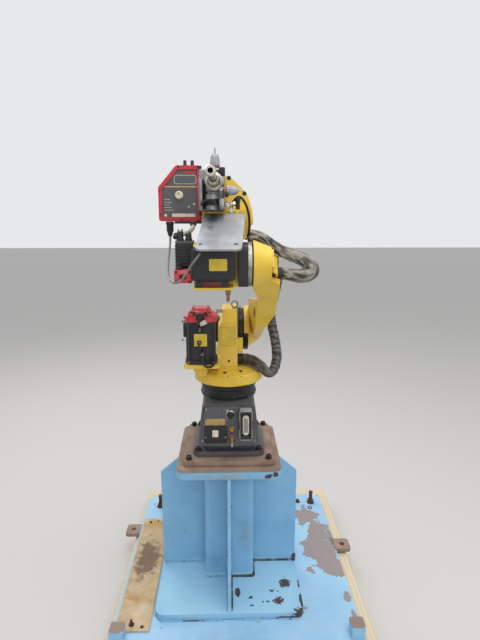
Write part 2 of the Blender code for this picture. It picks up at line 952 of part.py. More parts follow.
def build_swivel(swivel, yellow):
    profile = [
        (0.0, swivel_low),
        (swivel_boss_radius, swivel_low),
        (swivel_boss_radius, swivel_rim_low),
        (swivel_disc_radius - swivel_disc_edge, swivel_rim_low),
        (swivel_disc_radius, swivel_rim_low + swivel_disc_edge),
        (swivel_disc_radius, swivel_rim_top - swivel_disc_edge),
        (swivel_disc_radius - swivel_disc_edge, swivel_rim_top),
        (swivel_crown_radius, swivel_crown_top),
        (0.0, swivel_crown_top),
    ]
    casting = turned("swivel_casting", profile, "Z", (0.0, 0.0, 0.0), ring_steps, swivel, yellow)
    corner = swivel_disc_flat / math.cos(math.radians(octagon_turn))
    octagon = arc((0.0, 0.0), corner, octagon_turn, 360.0 - octagon_turn, 7)
    keep_inside(casting, prism("swivel_flats", octagon, 0.0, column_top, "Z", swivel))

    side = [
        (column_rear_foot_y, swivel_rim_top),
        (column_rear_y, swivel_crown_top + column_foot_height),
        (column_shoulder_y, column_top - column_shoulder_height),
        (column_top_rear_y, column_top),
        (column_top_front_y, column_top),
    ]
    shoulder = (shoulder_y, shoulder_z)
    side += arc(shoulder, column_boss_radius, column_boss_start, column_boss_end, hub_steps)
    side += [(column_front_foot_y, swivel_rim_top)]
    reach = column_right + column_foot_spread
    column = prism("column", side, column_left - column_foot_spread, reach, "X", swivel)
    foot_top = swivel_crown_top + column_foot_height
    front = [
        (column_left - column_foot_spread, 0.0),
        (column_right, 0.0),
        (column_right, column_top + overrun),
        (column_top_left, column_top + overrun),
        (column_top_left, column_top - column_shoulder_height),
        (column_left, column_top - column_shoulder_height - (column_top_left - column_left)),
        (column_left, foot_top),
        (column_left - column_foot_spread, swivel_crown_top),
    ]
    keep_inside(column, prism("column_front", front, -swivel_disc_radius, column_top, "Y", swivel))

    rear = shelf_root_rear_y
    root = rectangle(shelf_root_left, shelf_root_right, rear, shelf_front_y, shelf_corner, 2)
    root_top = rectangle(shelf_root_top_left, shelf_root_right, rear, shelf_front_y, shelf_corner, 2)
    top = rectangle(shelf_left, shelf_right, shelf_rear_y, shelf_front_y, shelf_corner, 2)
    shelf_low = shelf_top - shelf_thickness
    shelf = loft(
        "motor_shelf",
        [
            level(root, swivel_rim_top - swivel_disc_edge),
            level(root_top, shelf_low),
            level(top, shelf_low),
            level(top, shelf_top),
        ],
        swivel,
    )
    end = column_right + column_lug_reach
    lug = rectangle(column_right - overrun, end, column_lug_low, column_lug_high)
    lug = prism("column_lug", lug, -column_lug_half, column_lug_half, "Y", swivel)
    weld(casting, column, shelf, lug)


def lifting_eye(name, foot, parent, steel):
    x, y, z = foot
    collar_top = z + gap + eye_collar_height
    centre_z = collar_top + eye_ring_radius
    profile = [
        (0.0, z + gap),
        (eye_collar_radius, z + gap),
        (eye_collar_radius, collar_top),
        (eye_neck_radius, collar_top + eye_wire_radius / 2),
        (0.0, collar_top + eye_wire_radius / 2),
    ]
    ring_profile = [
        (eye_ring_radius + a, b)
        for a, b in arc((0.0, 0.0), eye_wire_radius, 0.0, 360.0 - 360.0 / wire_steps, wire_steps - 1)
    ]
    ring = turned(name, ring_profile, "Y", (x, y, centre_z), torus_steps, parent, steel, closed=True)
    weld(ring, turned(f"{name}_collar", profile, "Z", (x, y, 0.0), small_ring_steps, parent))


def build_swivel_motors(swivel, black, red):
    low = shelf_top + gap
    x, y = j1_motor_x, j1_motor_y

    def section(width, height, radius):
        return [(x + a, y + b, height) for a, b in square(width, radius, 2)]

    flange_top = low + j1_motor_flange_height
    body_top = low + j1_motor_height
    slim = j1_motor_width - 2 * j1_motor_waist
    sections = [
        section(j1_motor_width, low, j1_motor_corner),
        section(j1_motor_width, flange_top, j1_motor_corner),
        section(slim, flange_top, j1_motor_corner),
        section(slim, body_top, j1_motor_corner),
    ]
    loft("j1_motor", sections, swivel, black)
    cap_low = body_top + gap
    cap_middle = cap_low + j1_cap_height
    sections = [
        section(j1_motor_width, cap_low, j1_cap_corner),
        section(j1_motor_width, cap_middle, j1_cap_corner),
        section(j1_cap_top_width, cap_middle + j1_motor_waist, j1_cap_corner),
        section(j1_cap_tip_width, cap_middle + j1_cap_top_height, j1_cap_corner),
    ]
    loft("j1_motor_cap", sections, swivel, red)

    right = column_left - gap
    sections = []
    for width, place in (
        (j2_motor_width, right),
        (j2_motor_width, right - j2_motor_flange),
        (j2_motor_width - 2 * j1_motor_waist, right - j2_motor_flange),
        (j2_motor_width - 2 * j1_motor_waist, right - j2_motor_length),
        (j2_cap_width, right - j2_motor_length),
        (j2_cap_width, right - j2_motor_length - j2_cap_length),
    ):
        outline = square(width, j2_motor_corner, 2)
        sections.append([(place, shoulder_y + a, shoulder_z + b) for a, b in outline])
    loft("j2_motor", sections, swivel, black)

    left = column_right + gap
    end = left + j2_ring_length
    profile = [
        (0.0, left),
        (j2_ring_radius, left),
        (j2_ring_radius, left + j2_ring_length / 3),
        (j2_ring_radius - j2_ring_groove, left + j2_ring_length / 3 + j2_ring_groove / 2),
        (j2_ring_radius - j2_ring_groove, end - j2_ring_groove),
        (j2_ring_radius - 2 * j2_ring_groove, end),
        (0.0, end),
    ]
    turned("j2_reducer", profile, "X", (0.0, shoulder_y, shoulder_z), ring_steps, swivel, black)


# Lower arm


def build_lower_arm(arm, yellow, black, sleeve):
    elbow = lower_arm_length
    side = [
        (beam_root_half, 0.0),
        (beam_low_half, beam_low_z),
        (beam_high_half, beam_high_z),
        (beam_tip_half, elbow),
        (-beam_tip_half, elbow),
        (-beam_high_half, beam_high_z),
        (-beam_low_half, beam_low_z),
        (-beam_root_half, 0.0),
    ]
    reach = max(x for x, z in beam_outer_profile)
    solid = prism("lower_arm", side, shoulder_flange_inner, reach, "X", arm, yellow)
    hub_inner = shoulder_flange_inner + shoulder_flange_width + gap
    front = [(hub_inner, 0.0)]
    front += beam_inner_profile
    front += [(elbow_hub_inner, elbow), (elbow_hub_outer, elbow)]
    front += beam_outer_profile
    front += [(shoulder_hub_outer, 0.0)]
    width = beam_low_half + overrun
    keep_inside(solid, prism("lower_arm_front", front, -width, width, "Y", arm))

    profile = [
        (0.0, hub_inner),
        (shoulder_hub_radius, hub_inner),
        (shoulder_hub_end_radius, shoulder_hub_outer),
        (0.0, shoulder_hub_outer),
    ]
    shoulder_hub = turned("shoulder_hub", profile, "X", (0.0, 0.0, 0.0), ring_steps, arm)
    profile = [
        (0.0, elbow_hub_inner),
        (elbow_hub_radius, elbow_hub_inner),
        (elbow_hub_radius, elbow_hub_inner + elbow_hub_rim),
        (elbow_hub_end_radius, elbow_hub_outer),
        (0.0, elbow_hub_outer),
    ]
    elbow_hub = turned("elbow_hub", profile, "X", (0.0, 0.0, elbow), ring_steps, arm)
    upright = 90.0 - lower_arm_lean
    cap = arc((0.0, 0.0), flange_cap_radius, upright - 90.0, upright + 90.0, 2 * hub_steps)
    cap = prism("flange_cap", cap, shoulder_flange_inner, flange_cap_root, "X", arm)

    before = lobe_bevel_start[0] - 2 * overrun
    bevel = [lobe_bevel_start, lobe_bevel_end, (before, lobe_bevel_end[1]), (before, lobe_bevel_start[1])]
    lobe = prism("lobe_bevel", bevel, lobe_bevel_low, lobe_bevel_high, "Z", arm)
    start = shoulder_flange_inner - overrun
    bow = prism("bow_cut", bow_cut_outline, start, bow_cut_end, "X", arm)
    cut(solid, lobe, bow)
    weld(solid, shoulder_hub, elbow_hub, cap)

    centre = (arm_pocket_y, arm_pocket_z)
    pocket = arc(centre, arm_pocket_radius, 180.0, 360.0, hub_steps)
    centre = (arm_pocket_y, arm_pocket_z + arm_pocket_height)
    pocket += arc(centre, arm_pocket_radius, 0.0, 180.0, hub_steps)
    pocket = prism("arm_pocket", pocket, start, arm_pocket_end, "X", arm)
    away = reach + overrun
    channel = list(arm_channel_floor)
    channel += [(away, arm_channel_floor[-1][1]), (away, arm_channel_floor[0][1])]
    channel = prism("arm_channel", channel, -arm_channel_half, arm_channel_half, "Y", arm)
    cut(solid, pocket, channel)

    turn = math.radians(upright)
    centre = (-gap * math.cos(turn), -gap * math.sin(turn))
    half_disc = arc(centre, shoulder_flange_radius, upright + 90.0, upright + 270.0, 2 * hub_steps)
    end = shoulder_flange_inner + shoulder_flange_width
    prism("shoulder_flange", half_disc, shoulder_flange_inner, end, "X", arm, black)

    foot = elbow_hub_outer + gap
    away = foot + bracket_stand_off
    profile = [
        (foot, bracket_high),
        (foot, bracket_bend),
        (away, bracket_low + bracket_lip),
        (away, bracket_low),
        (away + bracket_thickness, bracket_low),
        (away + bracket_thickness, bracket_low + bracket_lip),
        (foot + bracket_thickness, bracket_bend),
        (foot + bracket_thickness, bracket_high),
    ]
    half = bracket_width / 2
    prism("arm_bracket", profile, -half, half, "Y", arm, yellow)
    radius = arm_bundle_radius
    tube("dress_bundle_arm", arm_bundle_route, radius, bundle_sides, bundle_step_share, arm, sleeve)


# Elbow housing and what it carries


def build_housing(elbow, head, yellow, black, steel, red):
    corners = [
        (housing_rear_y, housing_low),
        (housing_front_y, housing_low),
        (housing_front_y, housing_high),
        (housing_rear_y, housing_high),
    ]
    side = rounded(corners, housing_corner)
    housing = prism("elbow_housing", side, housing_left, housing_right, "X", head, yellow)
    ledge = rectangle(ledge_left, ledge_right, ledge_rear_y, housing_front_y - housing_corner)
    ledge_top = housing_low + ledge_thickness
    ledge = prism("housing_ledge", ledge, housing_low, ledge_top, "Z", head)
    neck_low = housing_high - housing_corner
    neck_shoulder = drive_unit_low - gap
    neck_side = rounded(
        [
            (neck_rear_y, neck_low),
            (housing_front_y, neck_low),
            (neck_front_y, roll_axis_z - neck_front_drop),
            (neck_front_y, roll_axis_z),
            (roll_head_rear_y + overrun, roll_axis_z),
            (roll_head_rear_y + overrun, neck_shoulder),
            (neck_rear_y, neck_shoulder),
        ],
        [0.0, 0.0, neck_corner, 0.0, 0.0, 0.0, 0.0],
    )
    neck = prism("housing_neck", neck_side, neck_left, neck_right, "X", head)
    flare = housing_high + gap
    neck_top = roll_axis_z + overrun
    shoulder = roll_head_side[1][1]
    neck_front = [
        (neck_left, 0.0),
        (housing_right, 0.0),
        (housing_right, flare),
        (neck_right, flare + neck_corner),
        (neck_right, neck_top),
        (-neck_right, neck_top),
        (-neck_right, shoulder),
        (neck_left, shoulder),
    ]
    near = neck_rear_y - overrun
    keep_inside(neck, prism("neck_front", neck_front, near, neck_front_y + overrun, "Y", head))
    outline = list(roll_head_side) + [(-x, z) for x, z in reversed(roll_head_side)]
    collar_y = roll_head_front_y - roll_collar_length
    roll_head = prism("roll_head", outline, roll_head_rear_y, collar_y, "Y", head)
    centre = (0.0, 0.0, roll_axis_z)
    radius = roll_collar_radius
    near = collar_y - overrun
    collar = disc("roll_collar", radius, near, roll_head_front_y, "Y", centre, head, steps=ring_steps)
    weld(housing, ledge, neck, roll_head, collar)

    plate_right_x = side_plate_left + side_plate_thickness
    plate = square(side_plate_radius * 2, side_plate_corner)
    prism("elbow_side_plate", plate, side_plate_left, plate_right_x, "X", elbow, black)
    ring_end = elbow_ring_left + elbow_ring_length
    rim = elbow_ring_length / 4
    profile = [
        (0.0, elbow_ring_left),
        (elbow_ring_radius, elbow_ring_left),
        (elbow_ring_radius, ring_end - rim),
        (elbow_ring_radius - rim, ring_end),
        (0.0, ring_end),
    ]
    turned("elbow_reducer", profile, "X", (0.0, 0.0, 0.0), ring_steps, elbow, steel)

    cover_front = housing_rear_y - gap
    rim = drive_cover_rim
    base = (drive_cover_left, drive_cover_right, drive_cover_low, drive_cover_high)
    rear = (
        drive_cover_left + rim,
        drive_cover_right - rim,
        drive_cover_low + rim,
        drive_cover_high - rim,
    )
    sections = []
    for box, place in ((base, cover_front), (base, drive_cover_rear_y + rim), (rear, drive_cover_rear_y)):
        outline = rectangle(*box, drive_cover_corner, 2)
        sections.append([(a, place, b) for a, b in outline])
    loft("drive_cover", sections, head, black)
    half = wrist_motor_half
    corner = wrist_motor_corner
    outline = rectangle(-half, half, wrist_motor_low, wrist_motor_high, corner)
    prism("wrist_motor", outline, wrist_motor_left, housing_left - gap, "X", head, black)
    top = wrist_motor_low - gap
    corner = drive_cap_corner
    outline = rectangle(drive_cap_near_y, drive_cap_far_y, drive_cap_low, top, corner, 2)
    prism("drive_motor_cap", outline, wrist_motor_left, drive_cover_left - gap, "X", head, red)
    low = ledge_top + gap
    high = drive_cover_low - gap
    outline = rectangle(lower_motor_left, lower_motor_right, low, high, lower_motor_corner, 2)
    prism("lower_motor", outline, lower_motor_rear_y, cover_front, "Y", head, black)


def build_feeder(elbow, aluminium, grey, red, black):
    slope = math.radians(feeder_plate_slope)
    half = feeder_plate_width / 2
    corner = feeder_plate_corner
    corners = [(-half, 0.0), (half, 0.0), (half + feeder_plate_skew, 1.0), (-half + feeder_plate_skew, 1.0)]
    corners = [(x, share * feeder_plate_length) for x, share in corners]
    outline = rounded(corners, [corner, corner, corner / 4, corner / 4])
    plate = prism("feeder_plate", outline, 0.0, feeder_plate_thickness, "Z", elbow, aluminium)
    plate.location = (feeder_plate_x, feeder_plate_low_y, feeder_plate_low_z)
    plate.rotation_euler = (slope, 0.0, 0.0)
    holes = []
    inset = feeder_plate_hole_inset
    for i, x in enumerate((-half + inset / 2, half - inset / 2)):
        hole = disc(
            f"feeder_plate_hole_{i}",
            feeder_plate_hole_radius,
            -overrun,
            feeder_plate_thickness + overrun,
            "Z",
            (x, inset, 0.0),
            plate,
        )
        holes.append(hole)
    cut(plate, *holes)
    bracket_near = neck_rear_y - gap
    bracket_far = bracket_near - feeder_bracket_reach

    def under_plate(y):
        return feeder_plate_low_z + (y - feeder_plate_low_y) * math.tan(slope) - gap / math.cos(slope)

    bracket_side = [
        (bracket_near, under_plate(bracket_near) - feeder_bracket_drop),
        (bracket_near, under_plate(bracket_near)),
        (bracket_far, under_plate(bracket_far)),
        (bracket_far, under_plate(bracket_far) - feeder_bracket_tip),
    ]
    left = feeder_plate_x - feeder_bracket_width / 2
    prism("feeder_bracket", bracket_side, left, left + feeder_bracket_width, "X", elbow, aluminium)

    unit_front = roll_head_rear_y - gap
    sides = (drive_unit_left, drive_unit_right, drive_unit_low, drive_unit_high)
    outline = rectangle(*sides, drive_unit_corner, 2)
    prism("feeder_drive", outline, drive_unit_rear_y, unit_front, "Y", elbow, aluminium)
    flange_front = drive_unit_rear_y - gap
    flange_rear = flange_front - inlet_flange_length
    tip = flange_front - inlet_length
    nut_front = tip + inlet_nut_length
    bore_end = tip + inlet_bore_depth
    body_end = flange_rear - inlet_body_length
    profile = [
        (0.0, flange_front),
        (inlet_flange_radius, flange_front),
        (inlet_flange_radius, flange_rear),
        (inlet_body_radius, flange_rear),
        (inlet_body_radius, body_end),
        (inlet_tube_radius, body_end - inlet_tube_radius / 2),
        (inlet_tube_radius, nut_front),
        (inlet_nut_radius, nut_front),
        (inlet_nut_radius, tip),
        (inlet_bore_radius, tip),
        (inlet_bore_radius, bore_end),
        (0.0, bore_end),
    ]
    turned("wire_inlet", profile, "Y", (inlet_x, 0.0, inlet_z), small_ring_steps, elbow, aluminium)

    knob_low = drive_unit_high + gap
    knob_start = drive_unit_right + gap
    left_place = (knob_left_x, knob_y, 0.0)
    right_place = (0.0, knob_y, knob_right_z)
    shoulder = knob_base_radius / 3
    knobs = (
        ("left", "Z", knob_low, knob_pin_height, left_place),
        ("right", "X", knob_start, knob_pin_height / 9, right_place),
    )
    for side, axis, start, pin, place in knobs:
        end = start + knob_height
        profile = [
            (0.0, start),
            (knob_base_radius, start),
            (knob_base_radius, start + shoulder),
            (knob_top_radius, end - shoulder / 2),
            (knob_top_radius - shoulder / 2, end),
            (knob_pin_radius, end),
            (knob_pin_radius, end + pin),
            (0.0, end + pin),
        ]
        turned(f"pressure_knob_{side}", profile, axis, place, small_ring_steps, elbow, grey)

    front = control_box_rear_y + control_box_depth
    corners = [
        (control_box_left, control_box_low),
        (control_box_right, control_box_low),
        (control_box_right, control_box_high),
        (control_box_left + control_box_chamfer_x, control_box_high),
        (control_box_left, control_box_high - control_box_chamfer_z),
    ]
    outline = rounded(corners, control_box_corner, 2)
    box = prism("feeder_control_box", outline, control_box_rear_y, front, "Y", elbow, red)
    rim = control_frame
    inner = [
        (control_box_left + rim, control_box_low + rim),
        (control_box_right - rim, control_box_low + rim),
        (control_box_right - rim, control_box_high - rim),
        (control_box_left + control_box_chamfer_x + rim / 2, control_box_high - rim),
        (control_box_left + rim, control_box_high - control_box_chamfer_z - rim / 2),
    ]
    recess_end = control_box_rear_y + control_recess
    cut(box, prism("control_recess", inner, control_box_rear_y - overrun, recess_end, "Y", elbow))
    high = control_box_low - gap
    start = control_box_left + control_box_chamfer_x
    end = -roll_head_side[1][0] - gap
    bracket = rectangle(start, end, high - box_bracket_thickness, high)
    near = control_box_rear_y - box_bracket_near
    far = control_box_rear_y + box_bracket_far
    prism("control_bracket", bracket, near, far, "Y", elbow, aluminium)
    profile = [
        (0.0, socket_z + socket_length / 2),
        (socket_radius, socket_z + socket_length / 2),
        (socket_radius, socket_z),
        (socket_waist_radius, socket_z - socket_length / 3),
        (socket_end_radius, socket_z - socket_length / 2),
        (0.0, socket_z - socket_length / 2),
    ]
    turned("signal_socket", profile, "Z", (socket_x, socket_y, 0.0), small_ring_steps, elbow, black)


# Forearm, wrist and torch


def build_forearm(forearm, yellow):
    start = gap
    tip = wrist_reach - roll_head_front_y
    fork_start = tip - fork_length
    waist = start + forearm_flange_length
    profile = [
        (0.0, start),
        (forearm_flange_radius, start),
        (forearm_flange_radius, waist),
        (forearm_root_radius, waist + forearm_flange_length / 3),
        (forearm_root_radius, waist + forearm_waist),
        (forearm_tip_radius, fork_start - forearm_waist / 2),
        (forearm_tip_radius, fork_start),
        (0.0, fork_start),
    ]
    tube_part = turned("forearm", profile, "Y", (0.0, 0.0, 0.0), ring_steps, forearm, yellow)
    side = [(fork_start - overrun, -fork_end_radius), (tip, -fork_end_radius)]
    side += arc((tip, 0.0), fork_end_radius, -fork_end_angle, fork_end_angle, hub_steps)
    side += [(tip, fork_end_radius), (fork_start - overrun, fork_end_radius)]
    fork = prism("fork", side, -fork_half_width, fork_half_width, "X", forearm)
    weld(tube_part, fork)
    inner = fork_half_width - fork_cheek
    throat = rectangle(-inner, inner, tip - fork_throat, tip + fork_length, 0.0)
    cut(tube_part, prism("fork_throat", throat, -fork_length, fork_length, "Z", forearm))


def build_wrist(wrist, yellow):
    half = fork_half_width - fork_cheek - running_gap
    centre = (0.0, 0.0, 0.0)
    block = disc("wrist", wrist_radius, -half, half, "X", centre, wrist, yellow, ring_steps)
    neck = disc("wrist_neck", wrist_neck_radius, -wrist_drop, 0.0, "Z", centre, wrist, None, ring_steps)
    weld(block, neck)


def build_tool(tool, steel, aluminium, black, copper):
    top = -wrist_drop - running_gap
    flange_low = top - tool_flange_length
    disc("tool_flange", tool_flange_radius, flange_low, top, "Z", (0.0, 0.0, 0.0), tool, steel, ring_steps)
    clamp_top = flange_low - gap
    clamp_low = clamp_top - torch_clamp_height
    outline = square(torch_clamp_width, torch_clamp_corner, 2)
    prism("torch_clamp", outline, clamp_low, clamp_top, "Z", tool, aluminium)
    body_top = clamp_low - gap
    body_low = body_top - torch_body_length
    bend = math.radians(torch_bend)
    places = [(0.0, body_top, torch_body_radius, 0.0), (0.0, body_low, torch_body_radius, 0.0)]
    places.append((0.0, body_low - torch_neck_radius / 2, torch_neck_radius, 0.0))
    start_z = body_low - torch_neck_run
    bend_steps = 5
    for step in range(bend_steps + 1):
        angle = bend * step / bend_steps
        y = torch_bend_radius * (1 - math.cos(angle))
        z = start_z - torch_bend_radius * math.sin(angle)
        places.append((y, z, torch_neck_radius, angle))
    last_y, last_z = places[-1][:2]
    end_y = last_y + torch_neck_run * math.sin(bend)
    end_z = last_z - torch_neck_run * math.cos(bend)
    places.append((end_y, end_z, torch_neck_radius, bend))
    sections = []
    for y, z, radius, angle in places:
        section = []
        last = 360.0 - 360.0 / small_ring_steps
        for a, b in arc((0.0, 0.0), radius, 0.0, last, small_ring_steps - 1):
            section.append((a, y + b * math.cos(angle), z + b * math.sin(angle)))
        sections.append(section)
    loft("torch_body", sections, tool, black)
    length = nozzle_cone_length + nozzle_tip_length
    profile = [
        (0.0, 0.0),
        (nozzle_root_radius, 0.0),
        (nozzle_shoulder_radius, -nozzle_cone_length),
        (nozzle_tip_radius, -nozzle_cone_length),
        (nozzle_tip_radius, -length),
        (nozzle_bore_radius, -length),
        (nozzle_bore_radius, nozzle_bore_depth - length),
        (0.0, nozzle_bore_depth - length),
    ]
    nozzle = turned("torch_nozzle", profile, "Z", (0.0, 0.0, 0.0), small_ring_steps, tool, copper)
    nozzle.location = (0.0, end_y + gap * math.sin(bend), end_z - gap * math.cos(bend))
    nozzle.rotation_euler = (bend, 0.0, 0.0)


def build():
    for old in list(bpy.data.objects):
        bpy.data.objects.remove(old)
    yellow = colour("robot_yellow_paint", 0.81, 0.55, 0.04, 0.42)
    blue = colour("stand_blue_paint", 0.16, 0.43, 0.67, 0.5)
    rust = colour("rusty_steel", 0.25, 0.14, 0.09, 0.8)
    pine = colour("pine_timber", 0.69, 0.55, 0.35, 0.75)
    steel = colour("plain_steel", 0.38, 0.38, 0.39, 0.35, 1.0)
    casting = colour("grey_casting", 0.09, 0.09, 0.1, 0.6)
    black = colour("black_cover", 0.012, 0.012, 0.014, 0.45)
    red = colour("red_plastic", 0.53, 0.03, 0.04, 0.4)
    connector = colour("connector_grey", 0.2, 0.19, 0.17, 0.5)
    aluminium = colour("milled_aluminium", 0.6, 0.61, 0.63, 0.35, 1.0)
    grey = colour("grey_plastic", 0.45, 0.45, 0.44, 0.5)
    copper = colour("torch_copper", 0.42, 0.24, 0.13, 0.35, 1.0)
    canvas = colour("bundle_canvas", 0.22, 0.2, 0.17, 0.9)

    build_skid(pine)
    build_floor_plate(blue, rust)
    build_bare_strip(rust)
    build_levelling_bolts(steel)
    build_stand(blue, rust)

    base = pivot("base_frame", (0.0, 0.0, robot_z))
    build_robot_base(base, casting, black, connector)
    swivel = pivot("j1_axis", (0.0, 0.0, 0.0), 0.0, base)
    build_swivel(swivel, yellow)
    build_swivel_motors(swivel, black, red)
    lifting_eye("lifting_eye_swivel", (eye_swivel_x, eye_swivel_y, swivel_crown_top), swivel, steel)
    lifting_eye("lifting_eye_top", (eye_top_x, eye_top_y, column_top), swivel, steel)
    lower = (lower_bundle_route, lower_bundle_radius)
    tube("dress_bundle_lower", *lower, bundle_sides, bundle_step_share, swivel, canvas)

    arm = pivot("j2_axis", (0.0, shoulder_y, shoulder_z), lower_arm_lean, swivel)
    build_lower_arm(arm, yellow, black, canvas)
    elbow = pivot("j3_axis", (0.0, 0.0, lower_arm_length), -lower_arm_lean, arm)
    head = pivot("head_level", (0.0, 0.0, -head_drop), 0.0, elbow)
    build_housing(elbow, head, yellow, black, steel, red)
    build_feeder(head, aluminium, grey, red, black)
    cable = (signal_cable_route, signal_cable_radius)
    tube("signal_cable", *cable, cable_sides, cable_step_share, head, black)
    upper = (upper_bundle_route, upper_bundle_radius)
    tube("dress_bundle_upper", *upper, bundle_sides, bundle_step_share, head, canvas)

    forearm = pivot("j4_axis", (0.0, roll_head_front_y, roll_axis_z), 0.0, head)
    build_forearm(forearm, yellow)
    wrist = pivot("j5_axis", (0.0, wrist_reach - roll_head_front_y, 0.0), 0.0, forearm)
    build_wrist(wrist, yellow)
    tool = pivot("j6_axis", (0.0, 0.0, 0.0), 0.0, wrist)
    build_tool(tool, steel, aluminium, black, copper)


build()
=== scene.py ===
# Arc-welding robot on its blue stand and timber skid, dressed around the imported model
import math

import bmesh
import bpy
from mathutils import Matrix, Vector, noise


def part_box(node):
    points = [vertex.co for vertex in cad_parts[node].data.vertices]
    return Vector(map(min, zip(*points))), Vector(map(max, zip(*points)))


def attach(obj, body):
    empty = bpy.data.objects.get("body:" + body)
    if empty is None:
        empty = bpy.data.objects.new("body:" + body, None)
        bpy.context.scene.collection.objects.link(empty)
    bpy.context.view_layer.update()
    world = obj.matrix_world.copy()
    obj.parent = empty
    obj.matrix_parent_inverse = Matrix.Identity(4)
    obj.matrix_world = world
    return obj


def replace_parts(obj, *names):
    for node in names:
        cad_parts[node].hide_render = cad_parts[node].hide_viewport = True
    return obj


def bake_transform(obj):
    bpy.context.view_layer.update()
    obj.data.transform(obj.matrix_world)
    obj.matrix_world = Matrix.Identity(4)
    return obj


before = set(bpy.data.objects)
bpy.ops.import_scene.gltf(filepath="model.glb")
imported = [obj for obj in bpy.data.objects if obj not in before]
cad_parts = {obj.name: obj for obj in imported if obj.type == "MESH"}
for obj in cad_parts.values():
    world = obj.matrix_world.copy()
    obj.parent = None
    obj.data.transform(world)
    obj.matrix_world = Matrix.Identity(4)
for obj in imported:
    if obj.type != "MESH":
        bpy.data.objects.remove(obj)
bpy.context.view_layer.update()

scene = bpy.context.scene
scene.view_settings.view_transform = "Standard"
elbow = Vector((0.0, -0.3643, 1.473123))  # just below the elbow axis; hose routes are measured from it
robotFoot = 0.7141  # height of the underside of the robot's flange
up, down, nearward = (0, 0, 1), (0, 0, -1), (0, -1, 0)  # nearward points at the photograph's viewer


# Colours, nodes and materials


def linear(hexText):
    parts = [int(hexText[i : i + 2], 16) / 255 for i in (1, 3, 5)]
    return (*[((c + 0.055) / 1.055) ** 2.4 if c > 0.04045 else c / 12.92 for c in parts], 1.0)


def add(tree, kind, inputs, out=0, **settings):
    # One shader node with its settings and links; gives back the output that is used
    node = tree.nodes.new("ShaderNode" + kind)
    for key, value in settings.items():
        setattr(node, key, value)
    for key, value in inputs.items():
        if isinstance(value, bpy.types.NodeSocket):
            tree.links.new(value, node.inputs[key])
        else:
            node.inputs[key].default_value = value
    return node.outputs[out]


def startMaterial(name, look):
    made = bpy.data.materials.new(name)
    made.use_nodes = True
    shader = made.node_tree.nodes["Principled BSDF"]
    shader.inputs["Metallic"].default_value = look.get("metallic", 0.0)
    shader.inputs["Base Color"].default_value = linear(look["colour"])
    shader.inputs["Roughness"].default_value = look.get("roughness", 0.5)
    if look.get("metallic", 0.0) == 0:
        shader.inputs["IOR"].default_value = look.get("ior", 1.5)
    shader.inputs["Coat Weight"].default_value = look.get("coat", 0.0)
    shader.inputs["Coat Roughness"].default_value = look.get("coatRoughness", 0.2)
    made.diffuse_color = linear(look["colour"])
    return made, made.node_tree, shader


def perMetre(millimetres):
    return 1000.0 / millimetres


